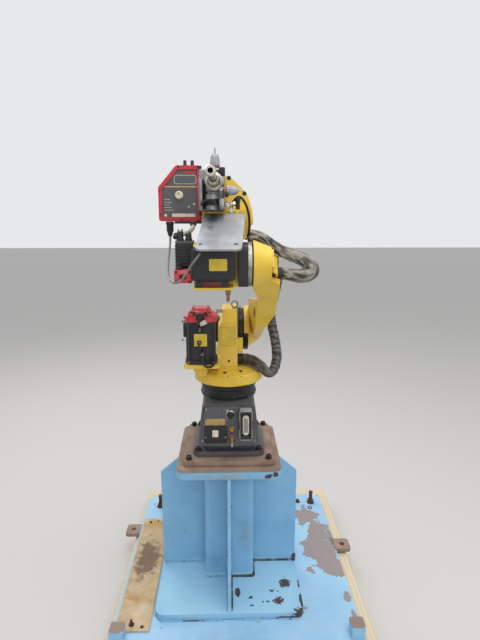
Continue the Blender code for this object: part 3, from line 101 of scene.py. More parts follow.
def wornSurface(name, look):
    # A coating or bare surface with slow colour drift, fine grain, painted shade and grime in its corners, and wear on
    # its edges and in patches that the photograph shows; every size in the look is in real millimetres
    made, tree, shader = startMaterial(name, look)
    place = add(tree, "TexCoord", {}, "Object")
    drift = add(tree, "TexNoise", {"Vector": place, "Scale": perMetre(look.get("driftMm", 150)), "Detail": 4.0})
    drift = add(tree, "MapRange", {"Value": drift, "From Min": 0.35, "From Max": 0.68}, 0)
    colour = add(
        tree, "Mix", {0: drift, 6: linear(look["colour"]), 7: linear(look.get("shade", look["colour"]))}, 2,
        data_type="RGBA",
    )
    grain = add(tree, "TexNoise", {"Vector": place, "Scale": perMetre(look.get("grainMm", 1.5)), "Detail": 2.0})
    speckle = add(tree, "TexNoise", {"Vector": place, "Scale": perMetre(look.get("speckMm", 9)), "Detail": 5.0})
    normal = add(tree, "Bevel", {"Radius": look.get("bevelMm", 1.0) / 1000}, samples=4)
    if look.get("cornerShadeAndGrime"):
        # Painted shade: the ambient-occlusion mask darkens corners and recesses, broken up by a speckle as grime
        hidden = add(tree, "AmbientOcclusion", {"Distance": look.get("cornerShadeAndGrimeMm", 25) / 1000}, "AO", samples=6)
        hidden = add(tree, "MapRange", {"Value": hidden, "From Min": 0.75, "From Max": 0.25})
        hidden = add(tree, "Math", {0: hidden, 1: speckle}, operation="MULTIPLY")
        hidden = add(tree, "Math", {0: hidden, 1: look.get("cornerShadeAndGrimeShare", 1.3)}, operation="MULTIPLY", use_clamp=True)
        colour = add(tree, "Mix", {0: hidden, 6: colour, 7: linear(look["cornerShadeAndGrime"])}, 2, data_type="RGBA")
    worn = None
    if look.get("edgeMm"):
        facing = add(tree, "NewGeometry", {}, "Normal")
        rounded = add(tree, "Bevel", {"Radius": look["edgeMm"] / 1000}, samples=4)
        edge = add(tree, "VectorMath", {0: facing, 1: rounded}, 1, operation="DOT_PRODUCT")
        edge = add(tree, "MapRange", {"Value": edge, "From Min": 0.995, "From Max": 0.86})
        worn = add(tree, "Math", {0: edge, 1: speckle}, operation="MULTIPLY")
        low = look.get("edgeFrom", 0.4)
        worn = add(tree, "MapRange", {"Value": worn, "From Min": low, "From Max": low + 0.06})
    if look.get("chipFrom"):
        chip = add(
            tree, "TexNoise",
            {"Vector": place, "Scale": perMetre(look["chipMm"]), "Detail": 6.0, "Roughness": 0.6}
        )
        low = look["chipFrom"]
        chip = add(tree, "MapRange", {"Value": chip, "From Min": low, "From Max": low + 0.015})
        worn = chip if worn is None else add(tree, "Math", {0: worn, 1: chip}, operation="MAXIMUM")
    for patch in look.get("patches", ()):
        centre, radius, ragged = patch[:3]
        reach = patch[3] if len(patch) > 3 else (1.0, 1.0, 1.0)
        flat = add(tree, "Mapping", {"Vector": place, "Scale": reach})
        away = add(tree, "VectorMath", {0: flat, 1: Vector(centre) * Vector(reach)}, 1, operation="DISTANCE")
        rough = add(
            tree, "TexNoise", {
                "Vector": place, "Scale": perMetre(look.get("raggedMm", 30)), "Detail": 6.0, "Roughness": 0.62
            }
        )
        away = add(tree, "Math", {0: rough, 1: -ragged, 2: away}, operation="MULTIPLY_ADD")
        low = radius - ragged / 2
        soft = look.get("softMm", 1.5) / 1000
        bared = add(tree, "MapRange", {"Value": away, "From Min": low, "From Max": low - soft})
        worn = bared if worn is None else add(tree, "Math", {0: worn, 1: bared}, operation="MAXIMUM")
    # Ragged spots of one tint each: real stains, and in some looks a painted shadow and a painted lit top
    for tint, centre, radius, ragged, reach, soft, share in look.get("stainsAndPaintedLight", ()):
        flat = add(tree, "Mapping", {"Vector": place, "Scale": reach})
        away = add(tree, "VectorMath", {0: flat, 1: Vector(centre) * Vector(reach)}, 1, operation="DISTANCE")
        rough = add(tree, "TexNoise", {"Vector": place, "Scale": perMetre(35), "Detail": 7.0, "Roughness": 0.65})
        away = add(tree, "Math", {0: rough, 1: -ragged, 2: away}, operation="MULTIPLY_ADD")
        low = radius - ragged / 2
        stain = add(
            tree, "MapRange", {"Value": away, "From Min": low, "From Max": low - soft / 1000, "To Max": share}
        )
        colour = add(tree, "Mix", {0: stain, 6: colour, 7: linear(tint)}, 2, data_type="RGBA")
    height = grain
    roughness = add(
        tree, "MapRange",
        {
            "Value": speckle, "To Min": look.get("roughness", 0.5) - 0.08,
            "To Max": min(1.0, look.get("roughness", 0.5) + look.get("roughSpread", 0.12)),
        },
    )
    if worn is not None:
        under = add(
            tree, "Mix", {0: speckle, 6: linear(look["under"]), 7: linear(look["underShade"])}, 2,
            data_type="RGBA"
        )
        colour = add(tree, "Mix", {0: worn, 6: colour, 7: under}, 2, data_type="RGBA")
        roughness = add(tree, "Mix", {0: worn, 2: roughness, 3: 0.78}, 0, data_type="FLOAT")
        height = add(tree, "Math", {0: worn, 1: look.get("chipDepth", -1.2), 2: grain}, operation="MULTIPLY_ADD")
    bump = add(
        tree, "Bump",
        {
            "Height": height, "Normal": normal, "Strength": look.get("bump", 0.25),
            "Distance": look.get("bumpMm", 0.25) / 1000
        },
    )
    tree.links.new(colour, shader.inputs["Base Color"])
    tree.links.new(roughness, shader.inputs["Roughness"])
    tree.links.new(bump, shader.inputs["Normal"])
    return made


# Two-coat enamel sprayed over sanded iron castings: satin, faint orange peel, painted shade and oily grime darkening
# the corners
castingEnamel = wornSurface(
    "yellow_enamel_sprayed_on_iron_casting",
    {
        "colour": "#EDCB47", "shade": "#DFB93A", "driftMm": 160,
        "grainMm": 1.6,  # orange peel
        "bump": 0.12, "roughness": 0.42, "coat": 0.12, "bevelMm": 1.6, "cornerShadeAndGrime": "#6B4F1B", "cornerShadeAndGrimeMm": 22,
        "cornerShadeAndGrimeShare": 0.9, "edgeMm": 1.4, "edgeFrom": 0.52, "under": "#8E7A4A", "underShade": "#5B4A2E",
        "chipMm": 26, "chipFrom": 0.755,
    },
)

# Brushed alkyd on hot-rolled plate: chalky satin, chipped through to dark mill scale where tools and chains hit it
standChips = [
    ((0.229, -0.146, 0.1426), 0.023, 0.07, (1.0, 0.85, 1.0)), ((0.193, -0.239, 0.1426), 0.019, 0.07),
    ((0.175, -0.187, 0.1426), 0.009, 0.05), ((0.196, -0.189, 0.1426), 0.005, 0.016),
    ((0.131, -0.243, 0.1426), 0.005, 0.014), ((0.151, -0.244, 0.1426), 0.006, 0.016),
    ((0.085, -0.22, 0.1426), 0.009, 0.04, (1.0, 1.2, 1.0)),
    ((0.087, -0.262, 0.1426), 0.007, 0.016, (0.7, 1.5, 1.0)),
    ((0.033, -0.192, 0.1426), 0.021, 0.026, (1.9, 0.8, 1.0)),
    ((0.288, -0.24, 0.1426), 0.02, 0.028, (1.6, 0.5, 1.0)),
    ((0.288, -0.15, 0.1426), 0.012, 0.028, (1.6, 0.5, 1.0)),
    ((0.287, -0.012, 0.16), 0.014, 0.024, (1.0, 1.0, 0.7)),
    ((0.27, -0.29, 0.128), 0.016, 0.03, (0.6, 0.8, 0.8)), ((0.23, -0.3, 0.118), 0.014, 0.02, (0.25, 1.0, 1.4)),
    ((0.15, -0.203, 0.662), 0.01, 0.022, (0.6, 1.0, 1.0)), ((0.18, -0.2, 0.668), 0.011, 0.024),
    ((0.11, -0.011, 0.153), 0.006, 0.012), ((-0.19, -0.006, 0.29), 0.003, 0.01),
    ((-0.14, -0.006, 0.22), 0.003, 0.01),
]
standStainsAndLitTop = [
    ("#8A8B72", (0.064, -0.1015, 0.34), 0.05, 0.09, (1.3, 1.0, 0.55), 60, 0.55),
    ("#6F7F86", (-0.06, -0.1015, 0.22), 0.035, 0.06, (1.0, 1.0, 0.8), 50, 0.45),
    ("#6B7C84", (-0.17, -0.09, 0.1426), 0.05, 0.09, (0.7, 1.0, 1.0), 70, 0.3),
    ("#8D8468", (0.0, -0.18, 0.655), 0.05, 0.08, (0.3, 1.0, 2.0), 30, 0.45),
    # painted highlight: the base plate's upward face lightened where overhead light falls on it
    ("#A6D2E6", (0.0, -0.15, 0.1426), 0.34, 0.03, (1.0, 1.0, 14.0), 90, 0.75),
]
# Its corner colour is a darker blue of the same paint: painted shade in the corners, no dirt
standAlkyd = wornSurface(
    "blue_alkyd_brushed_on_hot_rolled_plate",
    {
        "colour": "#8DBFDF", "shade": "#7FB3D6", "driftMm": 120,
        "grainMm": 3.0,  # brush marks and mill scale below
        "bump": 0.2, "roughness": 0.5, "bevelMm": 1.6, "cornerShadeAndGrime": "#4E7B93", "cornerShadeAndGrimeMm": 30, "cornerShadeAndGrimeShare": 0.8,
        "edgeMm": 1.2, "edgeFrom": 0.57, "under": "#3B3236", "underShade": "#5A4A48", "chipMm": 17,
        "chipFrom": 0.752, "patches": standChips, "raggedMm": 13, "stainsAndPaintedLight": standStainsAndLitTop,
    },
)

# The same alkyd on the floor plate, walked and dragged down to grey primer along its right side; its blue is set
# lighter than the stand's as a painted highlight of the upward face under overhead light
floorAlkyd = wornSurface(
    "blue_alkyd_worn_floor_plate",
    {
        "colour": "#A3CCE6", "shade": "#94C1DF", "driftMm": 140, "grainMm": 2.5, "bump": 0.25, "roughness": 0.5,
        "bevelMm": 1.5, "edgeMm": 1.6, "edgeFrom": 0.44, "under": "#A39A98", "underShade": "#8A7D7A",
        "chipMm": 12, "chipFrom": 0.77, "raggedMm": 55, "softMm": 4,
        "patches": [
            ((0.4, 0.36, 0.1143), 0.06, 0.14, (1.0, 0.8, 1.0)),
            ((0.44, 0.24, 0.1143), 0.055, 0.15, (1.0, 0.55, 1.0)),
            ((0.42, 0.1, 0.1143), 0.075, 0.15, (1.0, 0.8, 1.0)),
            ((0.455, -0.01, 0.1143), 0.06, 0.14, (1.0, 0.7, 1.0)),
            ((0.36, -0.02, 0.1143), 0.02, 0.11, (1.0, 0.6, 1.0)),
            ((0.478, -0.2, 0.1143), 0.016, 0.06, (1.0, 0.5, 1.0)),
            ((0.485, -0.28, 0.1143), 0.012, 0.06, (1.0, 0.35, 1.0)),
            ((0.11, -0.312, 0.1143), 0.006, 0.016, (0.8, 1.2, 1.0)),
            ((-0.26, -0.33, 0.1143), 0.007, 0.03, (0.6, 1.0, 1.0)), ((0.3, -0.25, 0.1143), 0.008, 0.03),
            ((-0.403, 0.48, 0.1143), 0.008, 0.03), ((0.43, 0.43, 0.1143), 0.008, 0.02),
        ],
        "stainsAndPaintedLight": [
            ("#8C7364", (-0.4135, -0.35, 0.166), 0.055, 0.01, (1.0, 1.0, 8.0), 2, 0.95),
            ("#8C7364", (0.467, -0.35, 0.166), 0.055, 0.01, (1.0, 1.0, 8.0), 2, 0.95),
            ("#6E5A4C", (0.496, 0.16, 0.11), 0.03, 0.05, (2.0, 0.4, 1.0), 6, 0.9),
            ("#7C9AAF", (0.0, -0.42, 0.1143), 0.12, 0.2, (0.5, 1.0, 1.0), 120, 0.3),
        ],
    },
)

# Mild steel plate left bare under the robot: dark scale, brown bloom of rust and rubbed pale corners, with near-black
# painted shade and grime in its inside corners
rustedPlate = wornSurface(
    "mild_steel_plate_rusted",
    {
        "colour": "#8A7365", "shade": "#A48C7B", "driftMm": 60, "grainMm": 1.8, "speckMm": 14, "bump": 0.45,
        "roughness": 0.78, "bevelMm": 1.2, "cornerShadeAndGrime": "#33251C", "cornerShadeAndGrimeMm": 18, "cornerShadeAndGrimeShare": 1.4, "edgeMm": 1.4,
        "edgeFrom": 0.36, "under": "#6A4A33", "underShade": "#B08A6A", "chipMm": 35, "chipFrom": 0.64,
        "chipDepth": -0.4,
    },
)

# Sheet steel strip with dried mortar and rust: pale tan ends, a brown middle and ochre runs
stainedStrip = wornSurface(
    "sheet_steel_strip_stained",
    {
        "colour": "#C9B391", "shade": "#B99C70", "driftMm": 45, "grainMm": 2.0, "speckMm": 12, "bump": 0.5,
        "roughness": 0.8, "bevelMm": 0.8, "under": "#6F5746", "underShade": "#8B735F", "raggedMm": 40,
        "softMm": 25,
        "patches": [
            ((-0.37, 0.05, 0.12), 0.06, 0.15, (1.0, 0.45, 1.0)),
            ((-0.395, -0.03, 0.12), 0.03, 0.12, (1.0, 0.5, 1.0)), ((-0.36, 0.12, 0.12), 0.03, 0.12),
        ],
        "stainsAndPaintedLight": [
            ("#B98A3E", (-0.385, -0.19, 0.12), 0.035, 0.08, (1.0, 1.4, 1.0), 20, 0.8),
            ("#C08F48", (-0.365, 0.3, 0.12), 0.045, 0.09, (0.7, 1.0, 1.0), 40, 0.8),
            ("#5C4536", (-0.37, 0.1, 0.12), 0.02, 0.12, (1.0, 0.5, 1.0), 18, 0.75),
            ("#D9C9AC", (-0.35, -0.27, 0.12), 0.05, 0.1, (1.0, 0.7, 1.0), 50, 0.6),
            ("#A88D74", (-0.38, -0.1, 0.12), 0.03, 0.1, (1.0, 0.8, 1.0), 40, 0.6),
        ],
        "chipDepth": 0.0,
    },
)

# Black iron castings primed and sprayed grey: dull, slightly coarse, with painted shade and grime in the corners
greyCasting = wornSurface(
    "grey_primer_on_iron_casting",
    {
        "colour": "#5D5E61", "shade": "#54555A", "driftMm": 90, "grainMm": 1.8, "bump": 0.4, "roughness": 0.5,
        "bevelMm": 1.6, "cornerShadeAndGrime": "#26221F", "cornerShadeAndGrimeMm": 20, "edgeMm": 1.2, "edgeFrom": 0.46, "under": "#8A8682",
        "underShade": "#6A625A", "chipMm": 20, "chipFrom": 0.76,
    },
)

# Stove enamel on covers and rings: near black, satin, dusty in its corners
blackEnamel = wornSurface(
    "black_stoved_enamel_cover",
    {
        "colour": "#1B1B1E", "shade": "#242427", "driftMm": 60, "grainMm": 1.2, "bump": 0.2, "roughness": 0.42,
        "bevelMm": 0.9, "edgeMm": 1.0, "edgeFrom": 0.5, "under": "#4A4A4C", "underShade": "#3A3836",
    },
)

# Servo motor housings: die-cast aluminium under black epoxy powder, fine pebble
motorPowder = wornSurface(
    "black_epoxy_powder_on_die_casting",
    {
        "colour": "#1E1E21", "shade": "#2A2A2D", "driftMm": 50, "grainMm": 0.9, "bump": 0.35, "roughness": 0.5,
        "bevelMm": 1.2, "edgeMm": 1.0, "edgeFrom": 0.48, "under": "#5A5753", "underShade": "#44403C",
    },
)

# Motor end caps: moulded glass-filled nylon dyed red, semi-gloss with a dusty bloom, and dark red painted shade in the
# corners
redNylon = wornSurface(
    "red_glass_filled_nylon_moulded",
    {
        "colour": "#C42F38", "shade": "#D2525A", "driftMm": 25, "grainMm": 0.8, "bump": 0.12, "roughness": 0.4,
        "bevelMm": 1.4, "cornerShadeAndGrime": "#4A1216", "cornerShadeAndGrimeMm": 12, "cornerShadeAndGrimeShare": 1.0,
    },
)

# Dark red of the small motor under the drive: the same nylon darkened as painted shade, for it sits in shadow below
# the drive
shadedRedNylon = wornSurface(
    "red_nylon_in_painted_shade",
    {
        "colour": "#7A1F26", "shade": "#641A20", "driftMm": 30, "grainMm": 0.8, "bump": 0.12, "roughness": 0.45,
        "bevelMm": 1.2
    },
)

# Feeder case: powder-coated steel sheet, clear red with an even gloss
redPowder = wornSurface(
    "red_powder_coated_sheet",
    {
        "colour": "#C63140", "shade": "#BC2B3A", "driftMm": 120, "grainMm": 1.2, "bump": 0.1, "roughness": 0.36,
        "bevelMm": 1.4, "edgeMm": 1.0, "edgeFrom": 0.55, "under": "#6E2A30", "underShade": "#4A2B2C",
    },
)

# Wrought aluminium plate, face-milled and handled: grey, low sheen, with the wire inlet's painted shadow laid along it
# in long soft dark streaks
milledPlate = wornSurface(
    "aluminium_plate_milled",
    {
        "colour": "#AEB0B4", "shade": "#94979C", "metallic": 0.55, "driftMm": 55, "grainMm": 0.8, "bump": 0.1,
        "roughness": 0.46, "bevelMm": 0.8,
        "stainsAndPaintedLight": [
            ("#5E6269", (-0.045, -0.385, 1.62), 0.022, 0.04, (1.0, 0.5, 0.6), 14, 0.85),
            ("#6B6F76", (-0.05, -0.44, 1.598), 0.014, 0.03, (1.0, 0.35, 0.5), 12, 0.7),
            ("#747880", (-0.055, -0.5, 1.57), 0.006, 0.02, (1.4, 0.35, 0.5), 10, 0.6),
        ],
    },
)

# Feeder body and clamps: cast aluminium, tumbled, with painted shade and grease in its corners
castAluminium = wornSurface(
    "aluminium_casting_tumbled",
    {
        "colour": "#9B9B9C", "shade": "#7E7E80", "metallic": 0.75, "driftMm": 22, "grainMm": 1.2, "bump": 0.35,
        "roughness": 0.4, "bevelMm": 1.0, "cornerShadeAndGrime": "#1F1C1A", "cornerShadeAndGrimeMm": 16, "cornerShadeAndGrimeShare": 1.5,
    },
)

# Turned fittings: nickel-plated brass, bright with a few dull rings, painted shade and grime in their corners
nickelFitting = wornSurface(
    "nickel_plated_turned_brass",
    {
        "colour": "#C6C0B4", "shade": "#A09A90", "metallic": 1.0, "driftMm": 14, "grainMm": 0.7, "bump": 0.08,
        "roughness": 0.25, "bevelMm": 0.5, "cornerShadeAndGrime": "#2C2622", "cornerShadeAndGrimeMm": 8,
    },
)

# Zinc-plated steel of eyes, rings and washers: grey with a straw tint, painted shade and grime in its corners
zincSteel = wornSurface(
    "steel_zinc_plated",
    {
        "colour": "#A5A29A", "shade": "#8A8474", "metallic": 0.85, "driftMm": 20, "grainMm": 0.8, "bump": 0.12,
        "roughness": 0.38, "bevelMm": 0.8, "cornerShadeAndGrime": "#37291C", "cornerShadeAndGrimeMm": 10,
    },
)

# Cap screws: alloy steel blacked in hot salts, oily sheen, with painted shade and grime darkening the sockets
blackedScrew = wornSurface(
    "alloy_steel_blacked",
    {
        "colour": "#2A2624", "shade": "#3C322C", "metallic": 0.55, "driftMm": 12, "grainMm": 0.8, "bump": 0.15,
        "roughness": 0.42, "bevelMm": 0.7, "cornerShadeAndGrime": "#120E0C", "cornerShadeAndGrimeMm": 8,
    },
)

# The same screws where rain got at them: brown scale over the black, painted shade and grime in the sockets
rustyScrew = wornSurface(
    "alloy_steel_rusted",
    {
        "colour": "#4A3A32", "shade": "#6A4B38", "metallic": 0.25, "driftMm": 9, "grainMm": 0.9, "bump": 0.4,
        "roughness": 0.7, "bevelMm": 0.7, "cornerShadeAndGrime": "#17110D", "cornerShadeAndGrimeMm": 8,
    },
)

# Torch nozzle: copper, heat-tinted brown and dusted with spatter
heatedCopper = wornSurface(
    "copper_nozzle_heat_tinted",
    {
        "colour": "#A9876A", "shade": "#8A7463", "metallic": 0.9, "driftMm": 18, "grainMm": 1.2, "speckMm": 5,
        "bump": 0.3, "roughness": 0.4, "bevelMm": 0.6, "chipMm": 6, "chipFrom": 0.68, "under": "#5D5148",
        "underShade": "#8B8178", "chipDepth": 0.8,
    },
)

# Brass fittings, turned, gone dull gold
dullBrass = wornSurface(
    "brass_turned_dull",
    {
        "colour": "#C09A4B", "shade": "#9A763A", "metallic": 0.9, "driftMm": 8, "grainMm": 0.7, "bump": 0.1,
        "roughness": 0.35, "bevelMm": 0.5
    },
)

# Moulded rubber and neoprene: matt black with a grey bloom
mouldedRubber = wornSurface(
    "neoprene_moulded",
    {
        "colour": "#1A1A1B", "shade": "#262626", "driftMm": 18, "grainMm": 0.8, "bump": 0.12, "roughness": 0.62,
        "bevelMm": 0.6
    },
)

# Knob mouldings: light grey polycarbonate, soft gloss, painted shade and grime in the corners
greyPolycarbonate = wornSurface(
    "polycarbonate_moulded_grey",
    {
        "colour": "#A9ACB0", "shade": "#8F9398", "driftMm": 12, "grainMm": 0.8, "bump": 0.06, "roughness": 0.35,
        "bevelMm": 0.8, "cornerShadeAndGrime": "#3A3A3C", "cornerShadeAndGrimeMm": 8,
    },
)

# Panel face of the feeder: printed polyester film, even dark grey, low gloss
panelFilm = wornSurface(
    "polyester_film_panel",
    {
        "colour": "#5B5C60", "shade": "#54555A", "driftMm": 60, "grainMm": 1.0, "bump": 0.04, "roughness": 0.38,
        "bevelMm": 0.4
    },
)

# Bare yellow plates and stickers: vinyl, a little faded
yellowVinyl = wornSurface(
    "vinyl_sheet_yellow",
    {
        "colour": "#E3C93E", "shade": "#D6BA3A", "driftMm": 20, "grainMm": 1.0, "bump": 0.05, "roughness": 0.4,
        "bevelMm": 0.3
    },
)

# White and cream plastic: PVC and melamine inserts
creamMelamine = wornSurface(
    "melamine_insert_cream",
    {
        "colour": "#E6E0CC", "shade": "#CFC6AC", "driftMm": 10, "grainMm": 0.9, "bump": 0.05, "roughness": 0.4,
        "bevelMm": 0.4
    },
)

# Tan data plate left blank: lacquered brass sheet, matt
lacqueredSheet = wornSurface(
    "brass_sheet_lacquered",
    {
        "colour": "#BFA66B", "shade": "#A58B57", "metallic": 0.3, "driftMm": 14, "grainMm": 0.8, "bump": 0.12,
        "roughness": 0.5, "bevelMm": 0.3
    },
)

# Orange stripe of the panel film
orangeInk = wornSurface(
    "orange_screen_ink",
    {
        "colour": "#E0A866", "shade": "#D79850", "driftMm": 20, "grainMm": 1.0, "bump": 0.03, "roughness": 0.4,
        "bevelMm": 0.2
    },
)

# Grey PVC sheath of the signal lead, a slight gloss
greyPvc = wornSurface(
    "pvc_cable_sheath_grey",
    {
        "colour": "#7E7D7A", "shade": "#6C6B69", "driftMm": 30, "grainMm": 0.8, "bump": 0.05, "roughness": 0.4,
        "bevelMm": 0.3
    },
)

# Weld metal painted over in blue, rust coming through on its crests
paintedWeld = wornSurface(
    "weld_metal_painted_over",
    {
        "colour": "#84B6D8", "shade": "#6FA2C4", "driftMm": 40, "grainMm": 1.5, "bump": 0.3, "roughness": 0.5,
        "bevelMm": 0.5, "chipMm": 14, "chipFrom": 0.6, "under": "#40332F", "underShade": "#6A4C3C",
    },
)


def sawnPine(name, along):
    # Sawn pine: growth rings cut lengthwise give soft bands, and fine fibres run with the board
    look = {"colour": "#E0D1B8", "late": "#CFB997", "fibre": "#D6C6AA", "ringMm": 16, "fibreMm": 1.6, "knotMm": 160}
    made, tree, shader = startMaterial(name, {"colour": look["colour"], "roughness": 0.72})
    place = add(tree, "TexCoord", {}, "Object")
    slow = (0.06, 1.0, 1.0) if along == "X" else (1.0, 0.06, 1.0)
    drawn = add(tree, "Mapping", {"Vector": place, "Location": (0.013, 0.021, 0.03), "Scale": slow})
    bend = add(tree, "TexNoise", {"Vector": drawn, "Scale": perMetre(60), "Detail": 3.0}, "Color")
    bent = add(tree, "VectorMath", {0: bend, 1: (0.02, 0.02, 0.02), 2: drawn}, operation="MULTIPLY_ADD")
    rings = add(
        tree, "TexWave",
        {"Vector": bent, "Scale": perMetre(look["ringMm"]) / 20 * 6.28, "Distortion": 1.5, "Detail": 2.0}, 1,
        wave_type="RINGS", rings_direction=along,
    )
    rings = add(tree, "MapRange", {"Value": rings, "From Min": 0.35, "From Max": 0.95})
    fibre = add(tree, "TexNoise", {"Vector": drawn, "Scale": perMetre(look["fibreMm"]), "Detail": 3.0})
    colour = add(tree, "Mix", {0: rings, 6: linear(look["colour"]), 7: linear(look["late"])}, 2, data_type="RGBA")
    colour = add(tree, "Mix", {0: fibre, 6: colour, 7: linear(look["fibre"])}, 2, data_type="RGBA")
    knots = add(tree, "TexVoronoi", {"Vector": drawn, "Scale": perMetre(look["knotMm"])}, "Distance")
    knots = add(tree, "MapRange", {"Value": knots, "From Min": 0.07, "From Max": 0.03})
    colour = add(tree, "Mix", {0: knots, 6: colour, 7: linear("#7A5230")}, 2, data_type="RGBA")
    normal = add(tree, "Bevel", {"Radius": 0.002}, samples=4)
    bump = add(tree, "Bump", {"Height": fibre, "Normal": normal, "Strength": 0.35, "Distance": 0.0004})
    tree.links.new(colour, shader.inputs["Base Color"])
    tree.links.new(bump, shader.inputs["Normal"])
    return made


pineAlongX = sawnPine("pine_sawn_along_x", "X")
pineAlongY = sawnPine("pine_sawn_along_y", "Y")


def wovenSleeve(name, look):
    # Coated canvas tube: plain weave drawn along the sleeve's own UV, painted shade in the folds and pleat valleys,
    # painted highlight on the crests and raised threads, and stained along the length
    made, tree, shader = startMaterial(name, look)
    threads = add(tree, "TexCoord", {}, "UV")
    place = add(tree, "TexCoord", {}, "Object")
    step = perMetre(look["threadMm"]) * math.tau / 20
    warp = add(tree, "TexWave", {"Vector": threads, "Scale": step}, 1, wave_type="BANDS", bands_direction="X")
    weft = add(tree, "TexWave", {"Vector": threads, "Scale": step}, 1, wave_type="BANDS", bands_direction="Y")
    weave = add(tree, "Math", {0: warp, 1: weft}, operation="MULTIPLY")
    stain = add(
        tree, "TexNoise", {"Vector": place, "Scale": perMetre(look["stainMm"]), "Detail": 5.0, "Roughness": 0.6}
    )
    stain = add(tree, "MapRange", {"Value": stain, "From Min": 0.38, "From Max": 0.66})
    colour = add(tree, "Mix", {0: stain, 6: linear(look["colour"]), 7: linear(look["shade"])}, 2, data_type="RGBA")
    hidden = add(tree, "AmbientOcclusion", {"Distance": 0.012}, "AO", samples=8)
    hidden = add(tree, "MapRange", {"Value": hidden, "From Min": 0.9, "From Max": 0.35})
    colour = add(tree, "Mix", {0: hidden, 6: colour, 7: linear(look["fold"])}, 2, data_type="RGBA")
    pleat = add(tree, "Attribute", {}, "Fac", attribute_name="fold")
    valley = add(tree, "MapRange", {"Value": pleat, "From Min": look["ridge"], "From Max": look["valley"]})
    colour = add(tree, "Mix", {0: valley, 6: colour, 7: linear(look["fold"])}, 2, data_type="RGBA")
    crest = add(
        tree, "MapRange",
        {"Value": pleat, "From Min": look["ridge"], "From Max": look["ridge"] + 0.06, "To Max": 0.6}
    )
    colour = add(tree, "Mix", {0: crest, 6: colour, 7: linear(look["lit"])}, 2, data_type="RGBA")
    lifted = add(tree, "Math", {0: weave, 1: 0.18}, operation="MULTIPLY")
    colour = add(tree, "Mix", {0: lifted, 6: colour, 7: linear(look["lit"])}, 2, data_type="RGBA")
    bump = add(tree, "Bump", {"Height": weave, "Strength": look["bump"], "Distance": 0.0004})
    crease = add(tree, "TexNoise", {"Vector": place, "Scale": perMetre(look["creaseMm"]), "Detail": 4.0})
    bump = add(tree, "Bump", {"Height": crease, "Normal": bump, "Strength": 0.6, "Distance": 0.0025})
    tree.links.new(colour, shader.inputs["Base Color"])
    tree.links.new(bump, shader.inputs["Normal"])
    shader.inputs["Sheen Weight"].default_value = look["sheen"]
    shader.inputs["Sheen Roughness"].default_value = 0.5
    return made


# Duck canvas of the dress pack, beige gone grey; threads are drawn at 2.4 mm, coarser than the real 1 mm, to show
# fold is the colour of the painted shade in folds and valleys, lit that of the painted highlight on crests and threads
duckCanvas = wovenSleeve(
    "cotton_duck_dusty",
    {
        "colour": "#87827A", "shade": "#67625B", "fold": "#2B2825", "lit": "#ACA79D", "threadMm": 2.4,
        "stainMm": 45, "creaseMm": 14, "ridge": 0.955, "valley": 0.795, "roughness": 0.85, "bump": 0.25,
        "sheen": 0.15,
    },
)

# Nylon wrap of the lower hose, dark, with painted highlight on the crests of its folds and painted shade in their
# valleys
darkWrap = wovenSleeve(
    "nylon_wrap_dark",
    {
        "colour": "#504945", "shade": "#3C3633", "fold": "#100E0D", "lit": "#8A817C", "threadMm": 2.0,
        "stainMm": 50, "creaseMm": 12, "ridge": 0.955, "valley": 0.86, "roughness": 0.5, "bump": 0.2,
        "sheen": 0.1,
    },
)
print("materials ready:", len(bpy.data.materials))


# Shaping


def finishPiece(name, mesh, material, body, sharp=40.0):
    bmesh.ops.remove_doubles(mesh, verts=mesh.verts, dist=0.000004)
    bmesh.ops.recalc_face_normals(mesh, faces=mesh.faces)
    data = bpy.data.meshes.new(name)
    mesh.to_mesh(data)
    mesh.free()
    data.shade_smooth()
    data.set_sharp_from_angle(angle=math.radians(sharp))
    data.materials.append(material)
    made = bpy.data.objects.new(name, data)
    scene.collection.objects.link(made)
    if body:
        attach(made, body)
    return made


def turnTo(way, at=(0.0, 0.0, 0.0)):
    # Stands a shape built along Z on a point, facing a direction
    return Matrix.Translation(at) @ Vector((0.0, 0.0, 1.0)).rotation_difference(Vector(way)).to_matrix().to_4x4()


def block(mesh, low, high, bevel=0.0, segments=2, turn=None):
    low, high = Vector(low), Vector(high)
    known = set(mesh.verts)
    shape = Matrix.Translation((low + high) / 2) @ Matrix.Diagonal((*(high - low), 1.0))
    made = bmesh.ops.create_cube(mesh, size=1.0, matrix=shape)
    if bevel:
        edges = list({edge for vert in made["verts"] for edge in vert.link_edges})
        bmesh.ops.bevel(mesh, geom=edges, offset=bevel, segments=segments, profile=0.5, affect="EDGES", material=-1)
    if turn:
        bmesh.ops.transform(mesh, matrix=turn, verts=[v for v in mesh.verts if v not in known])


def rod(mesh, start, end, radius, steps=24, endRadius=None):
    start, end = Vector(start), Vector(end)
    bmesh.ops.create_cone(
        mesh, cap_ends=True, segments=steps, radius1=radius, radius2=radius if endRadius is None else endRadius,
        depth=(end - start).length, matrix=turnTo(end - start, (start + end) / 2),
    )


def lathe(mesh, profile, at, way=(0.0, 0.0, 1.0), steps=32):
    # A profile of (radius, height) pairs spun full circle about the given direction
    known = set(mesh.verts)
    points = [mesh.verts.new((radius, 0.0, height)) for radius, height in profile]
    lines = [mesh.edges.new(pair) for pair in zip(points, points[1:])]
    bmesh.ops.spin(
        mesh, geom=points + lines, axis=up, cent=(0.0, 0.0, 0.0), angle=math.tau, steps=steps, use_merge=True
    )
    fresh = [v for v in mesh.verts if v not in known]
    bmesh.ops.remove_doubles(mesh, verts=fresh, dist=0.00001)
    fresh = [v for v in mesh.verts if v not in known]
    bmesh.ops.transform(mesh, matrix=turnTo(way, at), verts=fresh)
    return fresh


